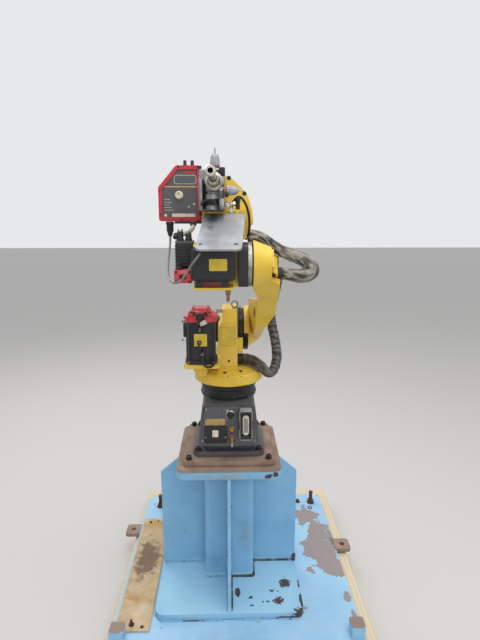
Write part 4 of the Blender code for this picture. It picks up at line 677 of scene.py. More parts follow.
def plate(mesh, outline, low, high, axis="Z", bevel=0.0, turn=None):
    # An outline drawn across an axis and pulled from low to high along it
    known = set(mesh.verts)
    order = {"X": lambda a, b: (low, a, b), "Y": lambda a, b: (a, low, b), "Z": lambda a, b: (a, b, low)}[axis]
    face = mesh.faces.new([mesh.verts.new(order(a, b)) for a, b in outline])
    grown = bmesh.ops.extrude_face_region(mesh, geom=[face])["geom"]
    way = {"X": (high - low, 0, 0), "Y": (0, high - low, 0), "Z": (0, 0, high - low)}[axis]
    bmesh.ops.translate(mesh, vec=way, verts=[v for v in grown if isinstance(v, bmesh.types.BMVert)])
    if bevel:
        edges = list({e for v in mesh.verts if v not in known for e in v.link_edges})
        bmesh.ops.bevel(mesh, geom=edges, offset=bevel, segments=2, profile=0.5, affect="EDGES", material=-1)
    if turn:
        bmesh.ops.transform(mesh, matrix=turn, verts=[v for v in mesh.verts if v not in known])


def corners(lowA, highA, lowB, highB, cut=0.0):
    # A rectangle whose corners are cut off
    if not cut:
        return [(lowA, lowB), (highA, lowB), (highA, highB), (lowA, highB)]
    return [
        (lowA + cut, lowB), (highA - cut, lowB), (highA, lowB + cut), (highA, highB - cut),
        (highA - cut, highB), (lowA + cut, highB), (lowA, highB - cut), (lowA, lowB + cut),
    ]


def capScrew(mesh, at, way, head, height, washer=0.0):
    # Socket cap screw: turned head with a six-sided socket, on a washer where it has one
    turn = turnTo(way, at)
    low = 0.0
    if washer:
        low = head * 0.16
        lathe(mesh, solid((washer, 0.0), (washer, low * 0.8), (washer - low * 0.3, low)), at, way, 28)
    socket = head * 0.52
    top = low + height
    known = set(mesh.verts)
    profile = [(0.0, top - height * 0.55), (socket, top - height * 0.55), (socket, top), (head - height * 0.12, top)]
    profile += [(head, top - height * 0.12), (head, low), (0.0, low)]
    fresh = lathe(mesh, profile, (0.0, 0.0, 0.0), (0.0, 0.0, 1.0), 24)
    for vert in fresh:
        out = math.hypot(vert.co.x, vert.co.y)
        if abs(out - socket) < socket * 0.02:  # the socket's wall drawn in to six flats
            angle = math.atan2(vert.co.y, vert.co.x) % (math.pi / 3) - math.pi / 6
            share = math.cos(math.pi / 6) / math.cos(angle)
            vert.co.x *= share
            vert.co.y *= share
    bmesh.ops.transform(mesh, matrix=turn, verts=[v for v in mesh.verts if v not in known])


def hexHead(mesh, at, way, across, height, washer=0.0):
    at, way = Vector(at), Vector(way).normalized()
    if washer:
        rod(mesh, at, at + way * across * 0.1, washer, 24)
        at = at + way * across * 0.1
    known = set(mesh.verts)
    bmesh.ops.create_cone(
        mesh, cap_ends=True, segments=6, radius1=across / math.sqrt(3), radius2=across / math.sqrt(3), depth=height
    )
    fresh = [v for v in mesh.verts if v not in known]
    edges = [e for e in {e for v in fresh for e in v.link_edges} if all(v.co.z > 0 for v in e.verts)]
    bmesh.ops.bevel(mesh, geom=edges, offset=across * 0.05, segments=1, profile=0.5, affect="EDGES", material=-1)
    fresh = [v for v in mesh.verts if v not in known]
    bmesh.ops.transform(mesh, matrix=turnTo(way, at + way * height / 2), verts=fresh)


def smoothPath(points, spacing):
    # A curve through the given points, read again at even steps
    dense = []
    ends = [points[0]] + list(points) + [points[-1]]
    for before, start, end, after in zip(ends, ends[1:], ends[2:], ends[3:]):
        p0, p1, p2, p3 = (Vector(p) for p in (before, start, end, after))
        for step in range(12):
            t = step / 12
            point = (p2 - p0) * t + (2 * p0 - 5 * p1 + 4 * p2 - p3) * t**2
            dense.append(p1 + (point + (3 * p1 - p0 - 3 * p2 + p3) * t**3) / 2)
    dense.append(Vector(points[-1]))
    lengths = [0.0]
    for start, end in zip(dense, dense[1:]):
        lengths.append(lengths[-1] + (end - start).length)
    count = max(2, round(lengths[-1] / spacing))
    path, place = [], 0
    for step in range(count + 1):
        wanted = lengths[-1] * step / count
        while place < len(dense) - 2 and lengths[place + 1] < wanted:
            place += 1
        share = (wanted - lengths[place]) / max(1e-9, lengths[place + 1] - lengths[place])
        path.append(dense[place].lerp(dense[place + 1], min(1.0, share)))
    return path


def sweep(mesh, path, radius, steps=12, shape=None):
    # A ring pulled along a path without twist; shape(distance, angle) scales its radius, and UV runs in metres
    around = mesh.verts.layers.float.get("around") or mesh.verts.layers.float.new("around")
    along = mesh.verts.layers.float.get("along") or mesh.verts.layers.float.new("along")
    fold = mesh.verts.layers.float.get("fold") or mesh.verts.layers.float.new("fold")
    uv = mesh.loops.layers.uv.get("UVMap") or mesh.loops.layers.uv.new("UVMap")
    fresh = []
    ring = bmesh.ops.create_circle(mesh, segments=steps, radius=radius)["verts"]
    for step, vert in enumerate(ring):
        vert[around] = step
    edges = list({e for v in ring for e in v.link_edges})
    side = None
    distance = 0.0
    for number, here in enumerate(path):
        here = Vector(here)
        ahead = (Vector(path[min(number + 1, len(path) - 1)]) - Vector(path[max(number - 1, 0)])).normalized()
        if side is None:
            side = ahead.orthogonal().normalized()
        side = (side - ahead * side.dot(ahead)).normalized()
        other = ahead.cross(side)
        if number:
            distance += (here - Vector(path[number - 1])).length
            grown = bmesh.ops.extrude_edge_only(mesh, edges=edges)["geom"]
            ring = [g for g in grown if isinstance(g, bmesh.types.BMVert)]
            front = set(ring)
            edges = [g for g in grown if isinstance(g, bmesh.types.BMEdge) and set(g.verts) <= front]
            fresh += [g for g in grown if isinstance(g, bmesh.types.BMFace)]
        for vert in ring:
            angle = math.tau * vert[around] / steps
            size, vert[fold] = shape(distance, angle) if shape else (1.0, 1.0)
            reach = radius * size
            vert.co = here + (side * math.cos(angle) + other * math.sin(angle)) * reach
            vert[along] = distance
    ends = [e for e in {e for f in fresh for e in f.edges} if e.is_boundary]
    fresh += bmesh.ops.holes_fill(mesh, edges=ends, sides=0)["faces"]
    for face in fresh:
        places = [loop.vert[around] / steps for loop in face.loops]
        wraps = len(face.verts) == 4 and max(places) - min(places) > 0.5
        for loop, share in zip(face.loops, places):
            share = share + 1.0 if wraps and share < 0.5 else share
            loop[uv].uv = (share * math.tau * radius, loop.vert[along])


def pathLength(path):
    return sum((b - a).length for a, b in zip(path, path[1:]))


def heldCord(name, points, radius, material, body, spacing=0.005, steps=14, node=None):
    # A lead that leaves one fitting and goes back into another
    mesh = bmesh.new()
    path = smoothPath(points, spacing)
    sweep(mesh, path, radius, steps)
    made = finishPiece(name, mesh, material, body, 60.0)
    if node:
        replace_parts(made, node)
    print(name, "ready, metres:", round(pathLength(path), 3))


def circle(count, shift=0.5):
    # Angles of a bolt circle
    return [math.tau * (step + shift) / count for step in range(count)]


def solid(*steps):
    # A turned profile closed on its axis at both ends
    return [(0.0, steps[0][1]), *steps, (0.0, steps[-1][1])]


# Camera, floor and light


view = {"lens": 26.72, "place": (0.0, -1.86, robotFoot + 0.897), "pitch": 78.46, "yaw": -1.45}
cameraData = bpy.data.cameras.new("photoCamera")
cameraData.lens = view["lens"]
cameraData.sensor_width = 36.0
cameraData.clip_start = 0.05
camera = bpy.data.objects.new("photoCamera", cameraData)
camera.location = view["place"]
camera.rotation_euler = (math.radians(view["pitch"]), 0.0, math.radians(view["yaw"]))
scene.collection.objects.link(camera)
scene.camera = camera

studio = {"floor": "#CDCBC8", "size": 30.0, "sky": "#F2F3F5", "skyStrength": 0.62}
floorMesh = bmesh.new()
bmesh.ops.create_grid(floorMesh, x_segments=1, y_segments=1, size=studio["size"])
floor = finishPiece("studioFloor", floorMesh, greyPvc, None)
floorLook = {"colour": studio["floor"], "roughness": 0.55}
floor.data.materials[0] = startMaterial("floor_pale_plain", floorLook)[0]

world = bpy.data.worlds.new("studioWorld")
scene.world = world
world.use_nodes = True
skyTree = world.node_tree
sky = skyTree.nodes["Background"]
rays = skyTree.nodes.new("ShaderNodeLightPath")
seen = add(skyTree, "Math", {0: rays.outputs["Is Camera Ray"], 1: rays.outputs["Is Glossy Ray"]}, operation="MAXIMUM")
seen = add(skyTree, "Math", {0: seen, 1: rays.outputs["Is Transmission Ray"]}, operation="MAXIMUM")
strength = add(skyTree, "Mix", {0: seen, 2: studio["skyStrength"], 3: 0.9}, 0, data_type="FLOAT")
sky.inputs["Color"].default_value = linear(studio["sky"])
skyTree.links.new(strength, sky.inputs["Strength"])

lamps = [
    {"name": "ceilingLight", "at": (0.4, -0.6, 4.2), "aim": (0.0, 0.0, 0.6), "size": 3.4, "power": 95},
    {"name": "rearLight", "at": (-1.6, 2.6, 3.4), "aim": (0.0, 0.0, 1.0), "size": 2.4, "power": 40},
    {"name": "frontFill", "at": (1.2, -3.6, 2.6), "aim": (0.0, 0.0, 1.0), "size": 2.6, "power": 30},
]
for lamp in lamps:
    lampData = bpy.data.lights.new(lamp["name"], "AREA")
    lampData.size = lamp["size"]
    lampData.energy = lamp["power"]
    lampObject = bpy.data.objects.new(lamp["name"], lampData)
    lampObject.location = lamp["at"]
    lampObject.rotation_euler = (Vector(lamp["aim"]) - Vector(lamp["at"])).to_track_quat("-Z", "Y").to_euler()
    scene.collection.objects.link(lampObject)
print("camera, floor and light ready")


# Signal lead of the feeder, from its socket to behind the feeder plate

signalLead = {
    "radius": 0.0035,
    "route": (
        (-0.199, 0.18, 0.0926), (-0.1993, 0.178, 0.076), (-0.2, 0.162, 0.05), (-0.2, 0.12, 0.018),
        (-0.195, 0.06, -0.0136), (-0.1865, 0.004, -0.032), (-0.1755, -0.053, -0.0325),
        (-0.1577, -0.103, -0.034), (-0.1397, -0.1125, -0.029), (-0.123, -0.1145, -0.008),
        (-0.106, -0.1155, 0.018), (-0.092, -0.1165, 0.036), (-0.083, -0.111, 0.047), (-0.0805, -0.0967, 0.0505),
    ),
}
leadPoints = [elbow + Vector(p) for p in signalLead["route"]]
heldCord("signalLead", leadPoints, signalLead["radius"], greyPvc, "upper_arm", 0.006, 16, "signal_cable")

# Dress pack: three cloth sleeves with slack folds and black bands at their ends

shoulder = Vector((0.0, 0.15, robotFoot + 0.45))
armTurn = Matrix.Rotation(math.radians(58.07), 3, "X")


def onArm(x, y, z):
    # A point given across and along the bowed arm, in world metres
    return shoulder + armTurn @ Vector((x, y, z))


clothRadius = 0.955  # share of a tube's radius at which the plain cloth lies, so that pleats reach it


def folded(seed, deep, pitch, slant, swell=None, wrap=None):
    # Slack cloth: pleats that run along the sleeve and slant across it, fuller where it swells at a bend; a wrapped
    # stretch has a spiral groove instead
    def shape(distance, angle):
        along = (distance + slant * math.sin(angle + seed)) / pitch
        place = Vector((math.cos(angle) * 1.35 + seed, math.sin(angle) * 1.35, along))
        ridge = 1.0 - 2.0 * abs(noise.noise(place))
        crinkle = noise.noise(place * 2.3) + 0.5 * noise.noise(place * 5.1)
        full = clothRadius
        if swell:
            full += swell[2] * max(0.0, 1.0 - ((distance - swell[0]) / swell[1]) ** 2)
        amount = full + deep * (ridge - 0.62) + deep * 0.5 * crinkle
        if wrap and distance > wrap[0]:
            wander = 0.7 * noise.noise(Vector((math.cos(angle), math.sin(angle), distance * 32 + seed)))
            turn = abs(math.sin(math.pi * (distance / wrap[1] + angle / math.tau + wander)))
            amount, full = 0.8 + 0.19 * turn**0.6 + 0.05 * crinkle, clothRadius
        return amount, amount - full + clothRadius  # the second shades the folds, without the swell

    return shape


def banded(count, depth, length):
    # Corrugated or taped stretch: even ridges along the length
    return lambda distance, angle: (1.0 + depth * math.sin(distance / length * count * math.tau), 1.0)


sleeves = {
    "lower": {
        "radius": 0.0203, "bodies": ("swivel", "lower_arm"),
        "route": (
            (0.0371, -0.004, 0.3585), (0.0592, -0.004, 0.3585), (0.0772, -0.012, 0.3592),
            (0.0944, -0.028, 0.3588), (0.1096, -0.045, 0.355), (0.1245, -0.062, 0.3482),
            (0.1394, -0.075, 0.3345), (0.1529, -0.08, 0.3245), (0.1695, -0.07, 0.3214), (0.183, -0.055, 0.3352),
            (0.191, -0.04, 0.3575), (0.1936, -0.03, 0.3794), (0.1905, -0.01, 0.4197), (0.1835, 0.005, 0.4616),
            (0.1765, 0.0165, 0.4957), (0.1735, 0.0177, 0.517), (0.1695, 0.0095, 0.5337),
            (0.1625, -0.0053, 0.5468), (0.1545, -0.0223, 0.5574), (0.1495, -0.0384, 0.5674),
            (0.149, -0.0533, 0.5767), (0.1524, -0.0717, 0.5881),
        ),
        "cloth": (3.1, 0.09, 0.034, 0.014, (0.05, 0.05, 0.05), (0.175, 0.023)), "darkFrom": 0.0,
        "bands": ((0.0, 0.03), (0.43, 0.445)),
    },
    "upper": {
        "radius": 0.0193, "bodies": ("lower_arm", "upper_arm"),
        "route": (
            (0.158, 0.0339, -0.022), (0.183, 0.0339, -0.022), (0.2, 0.0305, -0.025), (0.2245, 0.022, -0.0288),
            (0.253, 0.018, -0.0262), (0.2706, 0.02, -0.0111), (0.263, 0.026, 0.0076), (0.2381, 0.034, 0.0246),
            (0.2066, 0.042, 0.0369), (0.1717, 0.05, 0.051), (0.1363, 0.055, 0.0705), (0.1095, 0.0485, 0.0885),
            (0.0875, 0.0435, 0.0965), (0.0649, 0.0425, 0.098),
        ),
        "cloth": (7.7, 0.24, 0.042, 0.022, (0.13, 0.1, 0.2)), "darkFrom": None,
        "bands": ((0.0, 0.022), (0.288, 0.3)),
    },
    "arm": {
        "radius": 0.0212, "bodies": ("lower_arm",),
        "route": (
            (0.1525, 0.0, 0.262), (0.1625, 0.0, 0.326), (0.1625, 0.0, 0.4), (0.1625, 0.0, 0.48),
            (0.163, 0.0, 0.53),
        ),
        "cloth": (1.3, 0.05, 0.03, 0.01, None, (0.0, 0.02)), "darkFrom": 0.0,
        "bands": ((0.02, 0.032), (0.12, 0.13), (0.215, 0.23)),
    },
}


def stretch(path, low, high):
    # The part of a path between two distances from its start
    kept, distance = [], 0.0
    for before, here in zip([path[0]] + path, path):
        distance += (here - before).length
        if low <= distance <= high:
            kept.append(here)
    return kept


def follow(made, bodies):
    # One body carries the cloth; cloth that spans two bodies keeps its baked world shape and is attached to neither
    if len(bodies) == 2:
        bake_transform(made)
    else:
        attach(made, bodies[0])


for sleeveName, sleeve in sleeves.items():
    if sleeveName == "lower":
        points = [Vector(p) + Vector((0.0, 0.0, robotFoot)) for p in sleeve["route"]]
    elif sleeveName == "upper":
        points = [elbow + Vector(p) for p in sleeve["route"]]
    else:
        points = [onArm(*p) for p in sleeve["route"]]
    path = smoothPath(points, 0.0028)
    mesh = bmesh.new()
    sweep(mesh, path, sleeve["radius"], 36, folded(*sleeve["cloth"]))
    cloth = finishPiece(sleeveName + "Sleeve", mesh, duckCanvas, None, 80.0)
    cloth.data.materials.append(darkWrap)
    if sleeve["darkFrom"] is not None:
        runs = cloth.data.uv_layers["UVMap"].data
        for face in cloth.data.polygons:
            if runs[face.loop_start].uv[1] >= sleeve["darkFrom"]:
                face.material_index = 1
    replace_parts(cloth, "dress_bundle_" + sleeveName)
    follow(cloth, sleeve["bodies"])
    for number, (low, high) in enumerate(sleeve["bands"]):
        mesh = bmesh.new()
        run = stretch(path, low, high)
        ridges = max(2, round((high - low) / 0.006))
        sweep(mesh, run, sleeve["radius"] * 1.01, 36, banded(ridges, 0.012, high - low))
        band = finishPiece(f"{sleeveName}SleeveBand{number + 1}", mesh, mouldedRubber, None, 50.0)
        follow(band, sleeve["bodies"])
    print(sleeveName, "sleeve ready, metres:", round(pathLength(path), 3))


# Stand: weld beads with ripples, screws, levelling threads and the small things on the plates


def weldBead(mesh, start, end, radius, seed):
    # A stick weld: ripples every two millimetres or so, a little wander in width
    def shape(distance, angle):
        ripple = abs(math.sin(distance * 1400))
        return 0.82 + 0.12 * ripple + 0.12 * noise.noise(Vector((seed, distance * 60, 0.0))), 1.0

    count = max(4, round((Vector(end) - Vector(start)).length / 0.0022))
    path = [Vector(start).lerp(Vector(end), step / count) for step in range(count + 1)]
    sweep(mesh, path, radius, 8, shape)


standWelds = {
    "radius": 0.0055, "baseTop": 0.1426, "floorTop": 0.1143,
}
boxes = {name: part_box(name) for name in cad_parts}
columnLow, columnHigh = boxes["stand_column"]
gussetNear, gussetFar = boxes["stand_gusset_near"], boxes["stand_gusset_far"]
wingLeft, wingRight = boxes["stand_wing_left"], boxes["stand_wing_right"]
baseLow, baseHigh = boxes["stand_base_plate"]
mesh = bmesh.new()
foot = standWelds["baseTop"] + 0.0008
for number, (start, end) in enumerate(
    (
        ((columnLow[0], columnLow[1], foot), (gussetNear[0][0], columnLow[1], foot)),
        ((gussetNear[1][0], columnLow[1], foot), (columnHigh[0], columnLow[1], foot)),
        ((gussetNear[0][0], gussetNear[0][1] + 0.01, foot), (gussetNear[0][0], columnLow[1], foot)),
        ((gussetNear[1][0], gussetNear[0][1] + 0.01, foot), (gussetNear[1][0], columnLow[1], foot)),
        ((gussetNear[0][0], columnLow[1], foot), (gussetNear[0][0], columnLow[1], 0.62)),
        ((gussetNear[1][0], columnLow[1], foot), (gussetNear[1][0], columnLow[1], 0.62)),
        ((wingLeft[0][0] + 0.01, wingLeft[0][1], foot), (columnLow[0], wingLeft[0][1], foot)),
        ((wingLeft[0][0] + 0.01, wingLeft[1][1], foot), (columnLow[0], wingLeft[1][1], foot)),
        ((columnHigh[0], wingRight[0][1], foot), (wingRight[1][0] - 0.01, wingRight[0][1], foot)),
        ((columnHigh[0], wingRight[1][1], foot), (wingRight[1][0] - 0.01, wingRight[1][1], foot)),
        ((columnLow[0], wingLeft[0][1], foot), (columnLow[0], wingLeft[0][1], 0.6)),
        ((columnHigh[0], wingRight[0][1], foot), (columnHigh[0], wingRight[0][1], 0.6)),
        ((columnLow[0], columnHigh[1], foot), (gussetFar[0][0], columnHigh[1], foot)),
        ((gussetFar[1][0], columnHigh[1], foot), (columnHigh[0], columnHigh[1], foot)),
        ((gussetFar[0][0], columnHigh[1], foot), (gussetFar[0][0], gussetFar[1][1] - 0.01, foot)),
        ((gussetFar[1][0], columnHigh[1], foot), (gussetFar[1][0], gussetFar[1][1] - 0.01, foot)),
    )
):
    weldBead(mesh, start, end, standWelds["radius"], number)
floorLevel = standWelds["floorTop"] + 0.0006
for number, share in enumerate((0.04, 0.3, 0.56, 0.82)):
    left = baseLow[0] + (baseHigh[0] - baseLow[0]) * share
    for side in (baseLow[1], baseHigh[1]):
        weldBead(mesh, (left, side, floorLevel), (left + 0.085, side, floorLevel), 0.005, number + 20)
    near = baseLow[1] + (baseHigh[1] - baseLow[1]) * share
    for side in (baseLow[0], baseHigh[0]):
        weldBead(mesh, (side, near, floorLevel), (side, near + 0.07, floorLevel), 0.005, number + 30)
finishPiece("standWelds", mesh, paintedWeld, "stand", 60.0)
bareWeld = wornSurface(
    "weld_metal_bare_and_rusted",
    {
        "colour": "#3A3133", "shade": "#54443D", "driftMm": 14, "grainMm": 1.6, "bump": 0.6, "roughness": 0.75,
        "bevelMm": 0.6, "edgeMm": 2.0, "edgeFrom": 0.4, "under": "#7FA9C4", "underShade": "#6E5A4C",
        "chipMm": 16, "chipFrom": 0.56,
    },
)
mesh = bmesh.new()
for number, (start, end) in enumerate(
    (
        (
            (columnHigh[0] + 0.004, wingRight[0][1] - 0.001, foot),
            (wingRight[1][0] - 0.002, wingRight[0][1] - 0.001, foot)
        ),
        ((columnHigh[0] + 0.001, wingRight[0][1], foot), (columnHigh[0] + 0.001, columnLow[1], foot)),
        ((gussetNear[1][0], columnLow[1] - 0.001, foot), (columnHigh[0], columnLow[1] - 0.001, foot)),
        ((gussetNear[1][0] + 0.001, gussetNear[0][1] + 0.01, foot), (gussetNear[1][0] + 0.001, columnLow[1], foot)),
        (
            (wingRight[1][0] - 0.002, wingRight[0][1] - 0.001, foot),
            (wingRight[1][0] - 0.002, wingRight[0][1] - 0.001, foot + 0.03)
        ),
        ((baseLow[0] + 0.03, baseLow[1] - 0.001, 0.1146), (-0.03, baseLow[1] - 0.001, 0.1146)),
        ((0.2, baseLow[1] - 0.001, 0.1146), (baseHigh[0] - 0.02, baseLow[1] - 0.001, 0.1146)),
    )
):
    weldBead(mesh, start, end, 0.0068 if number < 5 else 0.0026, number + 40)
finishPiece("standBareWelds", mesh, bareWeld, "stand", 60.0)
mesh = bmesh.new()
hexHead(mesh, (0.3737, 0.484, 0.1143), up, 0.018, 0.011, 0.014)
lathe(mesh, [(0.0085, 0.0), (0.0125, 0.0), (0.0125, 0.0022), (0.0085, 0.0022)], (0.4324, 0.4241, 0.1143), up, 24)
finishPiece("floorPlateNuts", mesh, rustyScrew, "stand")

# Levelling bolts with nuts, washers and cut threads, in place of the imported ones
levelling = {"turns": 15, "pitch": 0.0025, "start": 0.0185, "core": 0.0078, "crest": 0.009, "end": 0.0568}
for place in ("levelling_bolt_left", "levelling_bolt_right"):
    low, high = boxes[place]
    middle = (Vector(low) + Vector(high)) / 2
    foot = Vector((middle.x, middle.y, low[2]))
    mesh = bmesh.new()
    lathe(mesh, solid((0.0195, 0.0), (0.0195, 0.0026), (0.0185, 0.0032)), foot, up, 28)
    hexHead(mesh, foot + Vector((0, 0, 0.0032)), up, 0.0285, 0.0165)
    thread = [(0.0, levelling["start"])]
    for turn in range(levelling["turns"]):
        height = levelling["start"] + turn * levelling["pitch"]
        thread += [(levelling["core"], height), (levelling["crest"], height + levelling["pitch"] / 2)]
    thread += [(levelling["core"], levelling["end"]), (0.0, levelling["end"])]
    lathe(mesh, thread, foot, up, 20)
    hexHead(mesh, foot + Vector((0, 0, 0.0545)), up, 0.019, 0.0125)
    bolt = finishPiece("levellingBolt" + place.rsplit("_", 1)[1], mesh, rustyScrew, "stand", 30.0)
    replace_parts(bolt, place)

# Timber nails, the studs of the bare strip, and its holes as dark discs of painted shade
mesh = bmesh.new()
for place in ("skid_timber_near", "skid_timber_far"):
    low, high = boxes[place]
    y = low[1] + 0.018
    for x in (low[0] + 0.05, low[0] + 0.07, (low[0] + high[0]) / 2, high[0] - 0.07, high[0] - 0.05):
        rod(mesh, (x, y, high[2] - 0.001), (x, y, high[2] + 0.0008), 0.0035, 12)
finishPiece("timberNails", mesh, rustyScrew, "stand")
stripTop = boxes["bare_strip"][1][2]
stud = Vector((-0.3721, -0.3187, stripTop))
mesh = bmesh.new()
hexHead(mesh, stud, up, 0.014, 0.008, 0.011)
rod(mesh, stud, stud + Vector((0, 0, 0.022)), 0.0045, 16)
finishPiece("stripStuds", mesh, rustyScrew, "stand")
mesh = bmesh.new()
for x, y, size in ((-0.3305, -0.3295, 0.0075), (-0.3995, 0.315, 0.006), (-0.3612, 0.32, 0.006)):
    rod(mesh, (x, y, stripTop - 0.0004), (x, y, stripTop + 0.0003), size, 20)
finishPiece("stripHoles", mesh, blackedScrew, "stand")
print("stand details ready")


# Robot base: screws, connector panel and its fittings

baseScrews = {
    "adapter": [(x, y) for x in (-0.155, 0.155) for y in (-0.158, 0.157)], "adapterTop": 0.7136,
    "flange": [(x, y) for x in (-0.1215, 0.1195) for y in (-0.1245, 0.122)], "washerTop": 0.7362,
    "flangeTop": 0.7339,
}
mesh = bmesh.new()
for x, y in baseScrews["adapter"]:
    capScrew(mesh, (x, y, baseScrews["adapterTop"]), up, 0.0112, 0.015)
finishPiece("adapterScrews", mesh, blackedScrew, "stand")
mesh = bmesh.new()
for x, y in baseScrews["flange"]:
    capScrew(mesh, (x, y, baseScrews["washerTop"]), up, 0.0115, 0.0125)
finishPiece("flangeScrews", mesh, blackedScrew, "stand")
mesh = bmesh.new()
for x, y in baseScrews["flange"]:
    lathe(mesh, solid((0.0172, 0.0), (0.0172, 0.0022), (0.0165, 0.0028)), (x, y, baseScrews["flangeTop"]), up, 28)
finishPiece("flangeWashers", mesh, rustyScrew, "stand")

panel = {"face": -0.1613, "cover": -0.1668, "cap": (0.0071, -0.1613, 0.8959)}
mesh = bmesh.new()
for x, z in ((-0.085, 0.9185), (0.085, 0.9185), (-0.1, 0.7905), (0.1, 0.7905)):
    capScrew(mesh, (x, panel["face"], z), nearward, 0.0048, 0.004)
for x, z in ((-0.0886, 0.808), (-0.0127, 0.808)):
    capScrew(mesh, (x, panel["cover"], z), nearward, 0.0036, 0.003)
finishPiece("panelScrews", mesh, zincSteel, "stand")

mesh = bmesh.new()
plate(mesh, corners(-0.0935, -0.0063, 0.7824, 0.8503, 0.004), panel["face"], panel["cover"], "Y", 0.0008)
lathe(
    mesh, [(0.0, 0.0), (0.0155, 0.0), (0.0155, 0.004), (0.0135, 0.012), (0.0115, 0.0155), (0.0, 0.0165)],
    panel["cap"], nearward, 28
)
finishPiece("panelCoverAndCap", mesh, mouldedRubber, "stand")
mesh = bmesh.new()
plate(mesh, corners(-0.0894, -0.0131, 0.8545, 0.8805, 0.003), panel["face"], panel["face"] - 0.0012, "Y", 0.0003)
finishPiece("panelBarePlate", mesh, lacqueredSheet, "stand")
mesh = bmesh.new()
plate(mesh, corners(-0.0626, -0.0402, 0.8084, 0.8362, 0.002), panel["cover"], panel["face"] - 0.0061, "Y")
plate(mesh, corners(-0.009, -0.001, 0.9105, 0.9165), panel["face"], panel["face"] - 0.0004, "Y")
finishPiece("panelBareStickers", mesh, creamMelamine, "stand")
mesh = bmesh.new()
lathe(mesh, solid((0.0185, 0.0), (0.0185, 0.003), (0.016, 0.0045)), panel["cap"], nearward, 28)
finishPiece("panelFittings", mesh, nickelFitting, "stand")
mesh = bmesh.new()
hexHead(mesh, (0.0124, panel["face"], 0.842), nearward, 0.016, 0.007, 0.0105)
lathe(
    mesh, solid((0.0055, 0.0), (0.0055, 0.014), (0.004, 0.0155)), (0.0124, panel["face"] - 0.007, 0.842),
    nearward, 24
)
finishPiece("panelBrassFitting", mesh, dullBrass, "stand")
print("base details ready")

# Feeder: control box face, drive unit, inlet, knobs and fittings

box = {
    "rear": -0.1703, "floor": -0.1643,
    "inner": ((-0.2288, 1.6263), (-0.0998, 1.6263), (-0.0998, 1.7939), (-0.1712, 1.7939), (-0.2288, 1.7265)),
}
mesh = bmesh.new()
plate(mesh, box["inner"], box["floor"], box["floor"] - 0.0008, "Y")
finishPiece("controlPanelFilm", mesh, panelFilm, "upper_arm")
filmFace = box["floor"] - 0.0008
mesh = bmesh.new()
plate(
    mesh, [(-0.2232, 1.7312), (-0.1035, 1.7312), (-0.1035, 1.7351), (-0.2198, 1.7351)], filmFace,
    filmFace - 0.0003, "Y"
)
finishPiece("controlPanelStripe", mesh, orangeInk, "upper_arm")
mesh = bmesh.new()
plate(mesh, corners(-0.1521, -0.1069, 1.7773, 1.7848), filmFace, filmFace - 0.0003, "Y")
finishPiece("controlPanelRedBar", mesh, redPowder, "upper_arm")
mesh = bmesh.new()
plate(mesh, corners(-0.1831, -0.1071, 1.7423, 1.7718, 0.005), filmFace, filmFace - 0.0003, "Y")
plate(mesh, corners(-0.1927, -0.112, 1.6322, 1.6431, 0.001), filmFace, filmFace - 0.0003, "Y")
for x, z, size in ((-0.1165, 1.6749, 0.0036), (-0.1345, 1.6664, 0.0028), (-0.2151, 1.6373, 0.0052)):
    rod(mesh, (x, filmFace, z), (x, filmFace - 0.0012, z), size, 20)
for row in range(5):  # blank legend lines, left of the lamps
    width = (0.021, 0.027, 0.018, 0.024, 0.03)[row]
    low = 1.6895 - 0.0088 * row
    plate(mesh, corners(-0.2185, -0.2185 + width, low, low + 0.0014), filmFace, filmFace - 0.0002, "Y")
finishPiece("controlPanelPaleMarks", mesh, creamMelamine, "upper_arm")
mesh = bmesh.new()
plate(mesh, corners(-0.1815, -0.1087, 1.7439, 1.7702, 0.0045), filmFace - 0.0003, filmFace - 0.0005, "Y")
finishPiece("controlPanelBareLabel", mesh, panelFilm, "upper_arm")
mesh = bmesh.new()
dialProfile = solid((0.0142, 0.0), (0.0142, 0.0016), (0.0125, 0.0026), (0.0118, 0.0088), (0.0105, 0.0098))
lathe(mesh, dialProfile, (-0.1673, filmFace, 1.705), nearward, 40)
finishPiece("controlDial", mesh, creamMelamine, "upper_arm", 30.0)
mesh = bmesh.new()
block(mesh, (-0.1681, filmFace - 0.0102, 1.705), (-0.1665, filmFace - 0.0097, 1.7148), 0.0002)
for z in (1.6455, 1.7905):
    rod(mesh, (-0.0915, box["rear"] - 0.0022, z - 0.011), (-0.0915, box["rear"] - 0.0022, z + 0.011), 0.0034, 16)
    block(mesh, (-0.0985, box["rear"] - 0.0018, z - 0.009), (-0.0915, box["rear"], z + 0.009), 0.0006)
for x in (-0.146, -0.121):
    lathe(
        mesh, solid((0.0068, 0.0), (0.0068, 0.004), (0.0056, 0.006), (0.0056, 0.016), (0.0045, 0.0185)),
        (x, -0.15, 1.8031), up, 20
    )
finishPiece("controlHingesAndCaps", mesh, mouldedRubber, "upper_arm")
mesh = bmesh.new()
for x, z in (
    (-0.2335, 1.64), (-0.2335, 1.719), (-0.167, 1.7985), (-0.102, 1.7985), (-0.16, 1.6216), (-0.102, 1.6216)
):
    capScrew(mesh, (x, box["rear"], z), nearward, 0.0028, 0.0022)
for y in (-0.13, -0.02):
    for z in (1.64, 1.72):
        capScrew(mesh, (-0.238, y, z), (-1, 0, 0), 0.004, 0.003)
finishPiece("controlBoxScrews", mesh, blackedScrew, "upper_arm")
mesh = bmesh.new()
for row in range(7):  # louvres of the box's far face
    low = 1.655 + 0.011 * row
    block(mesh, (-0.205, 0.0293, low), (-0.125, 0.0325, low + 0.0042), 0.0012)
finishPiece("controlBoxLouvres", mesh, redPowder, "upper_arm")
print("control box ready")

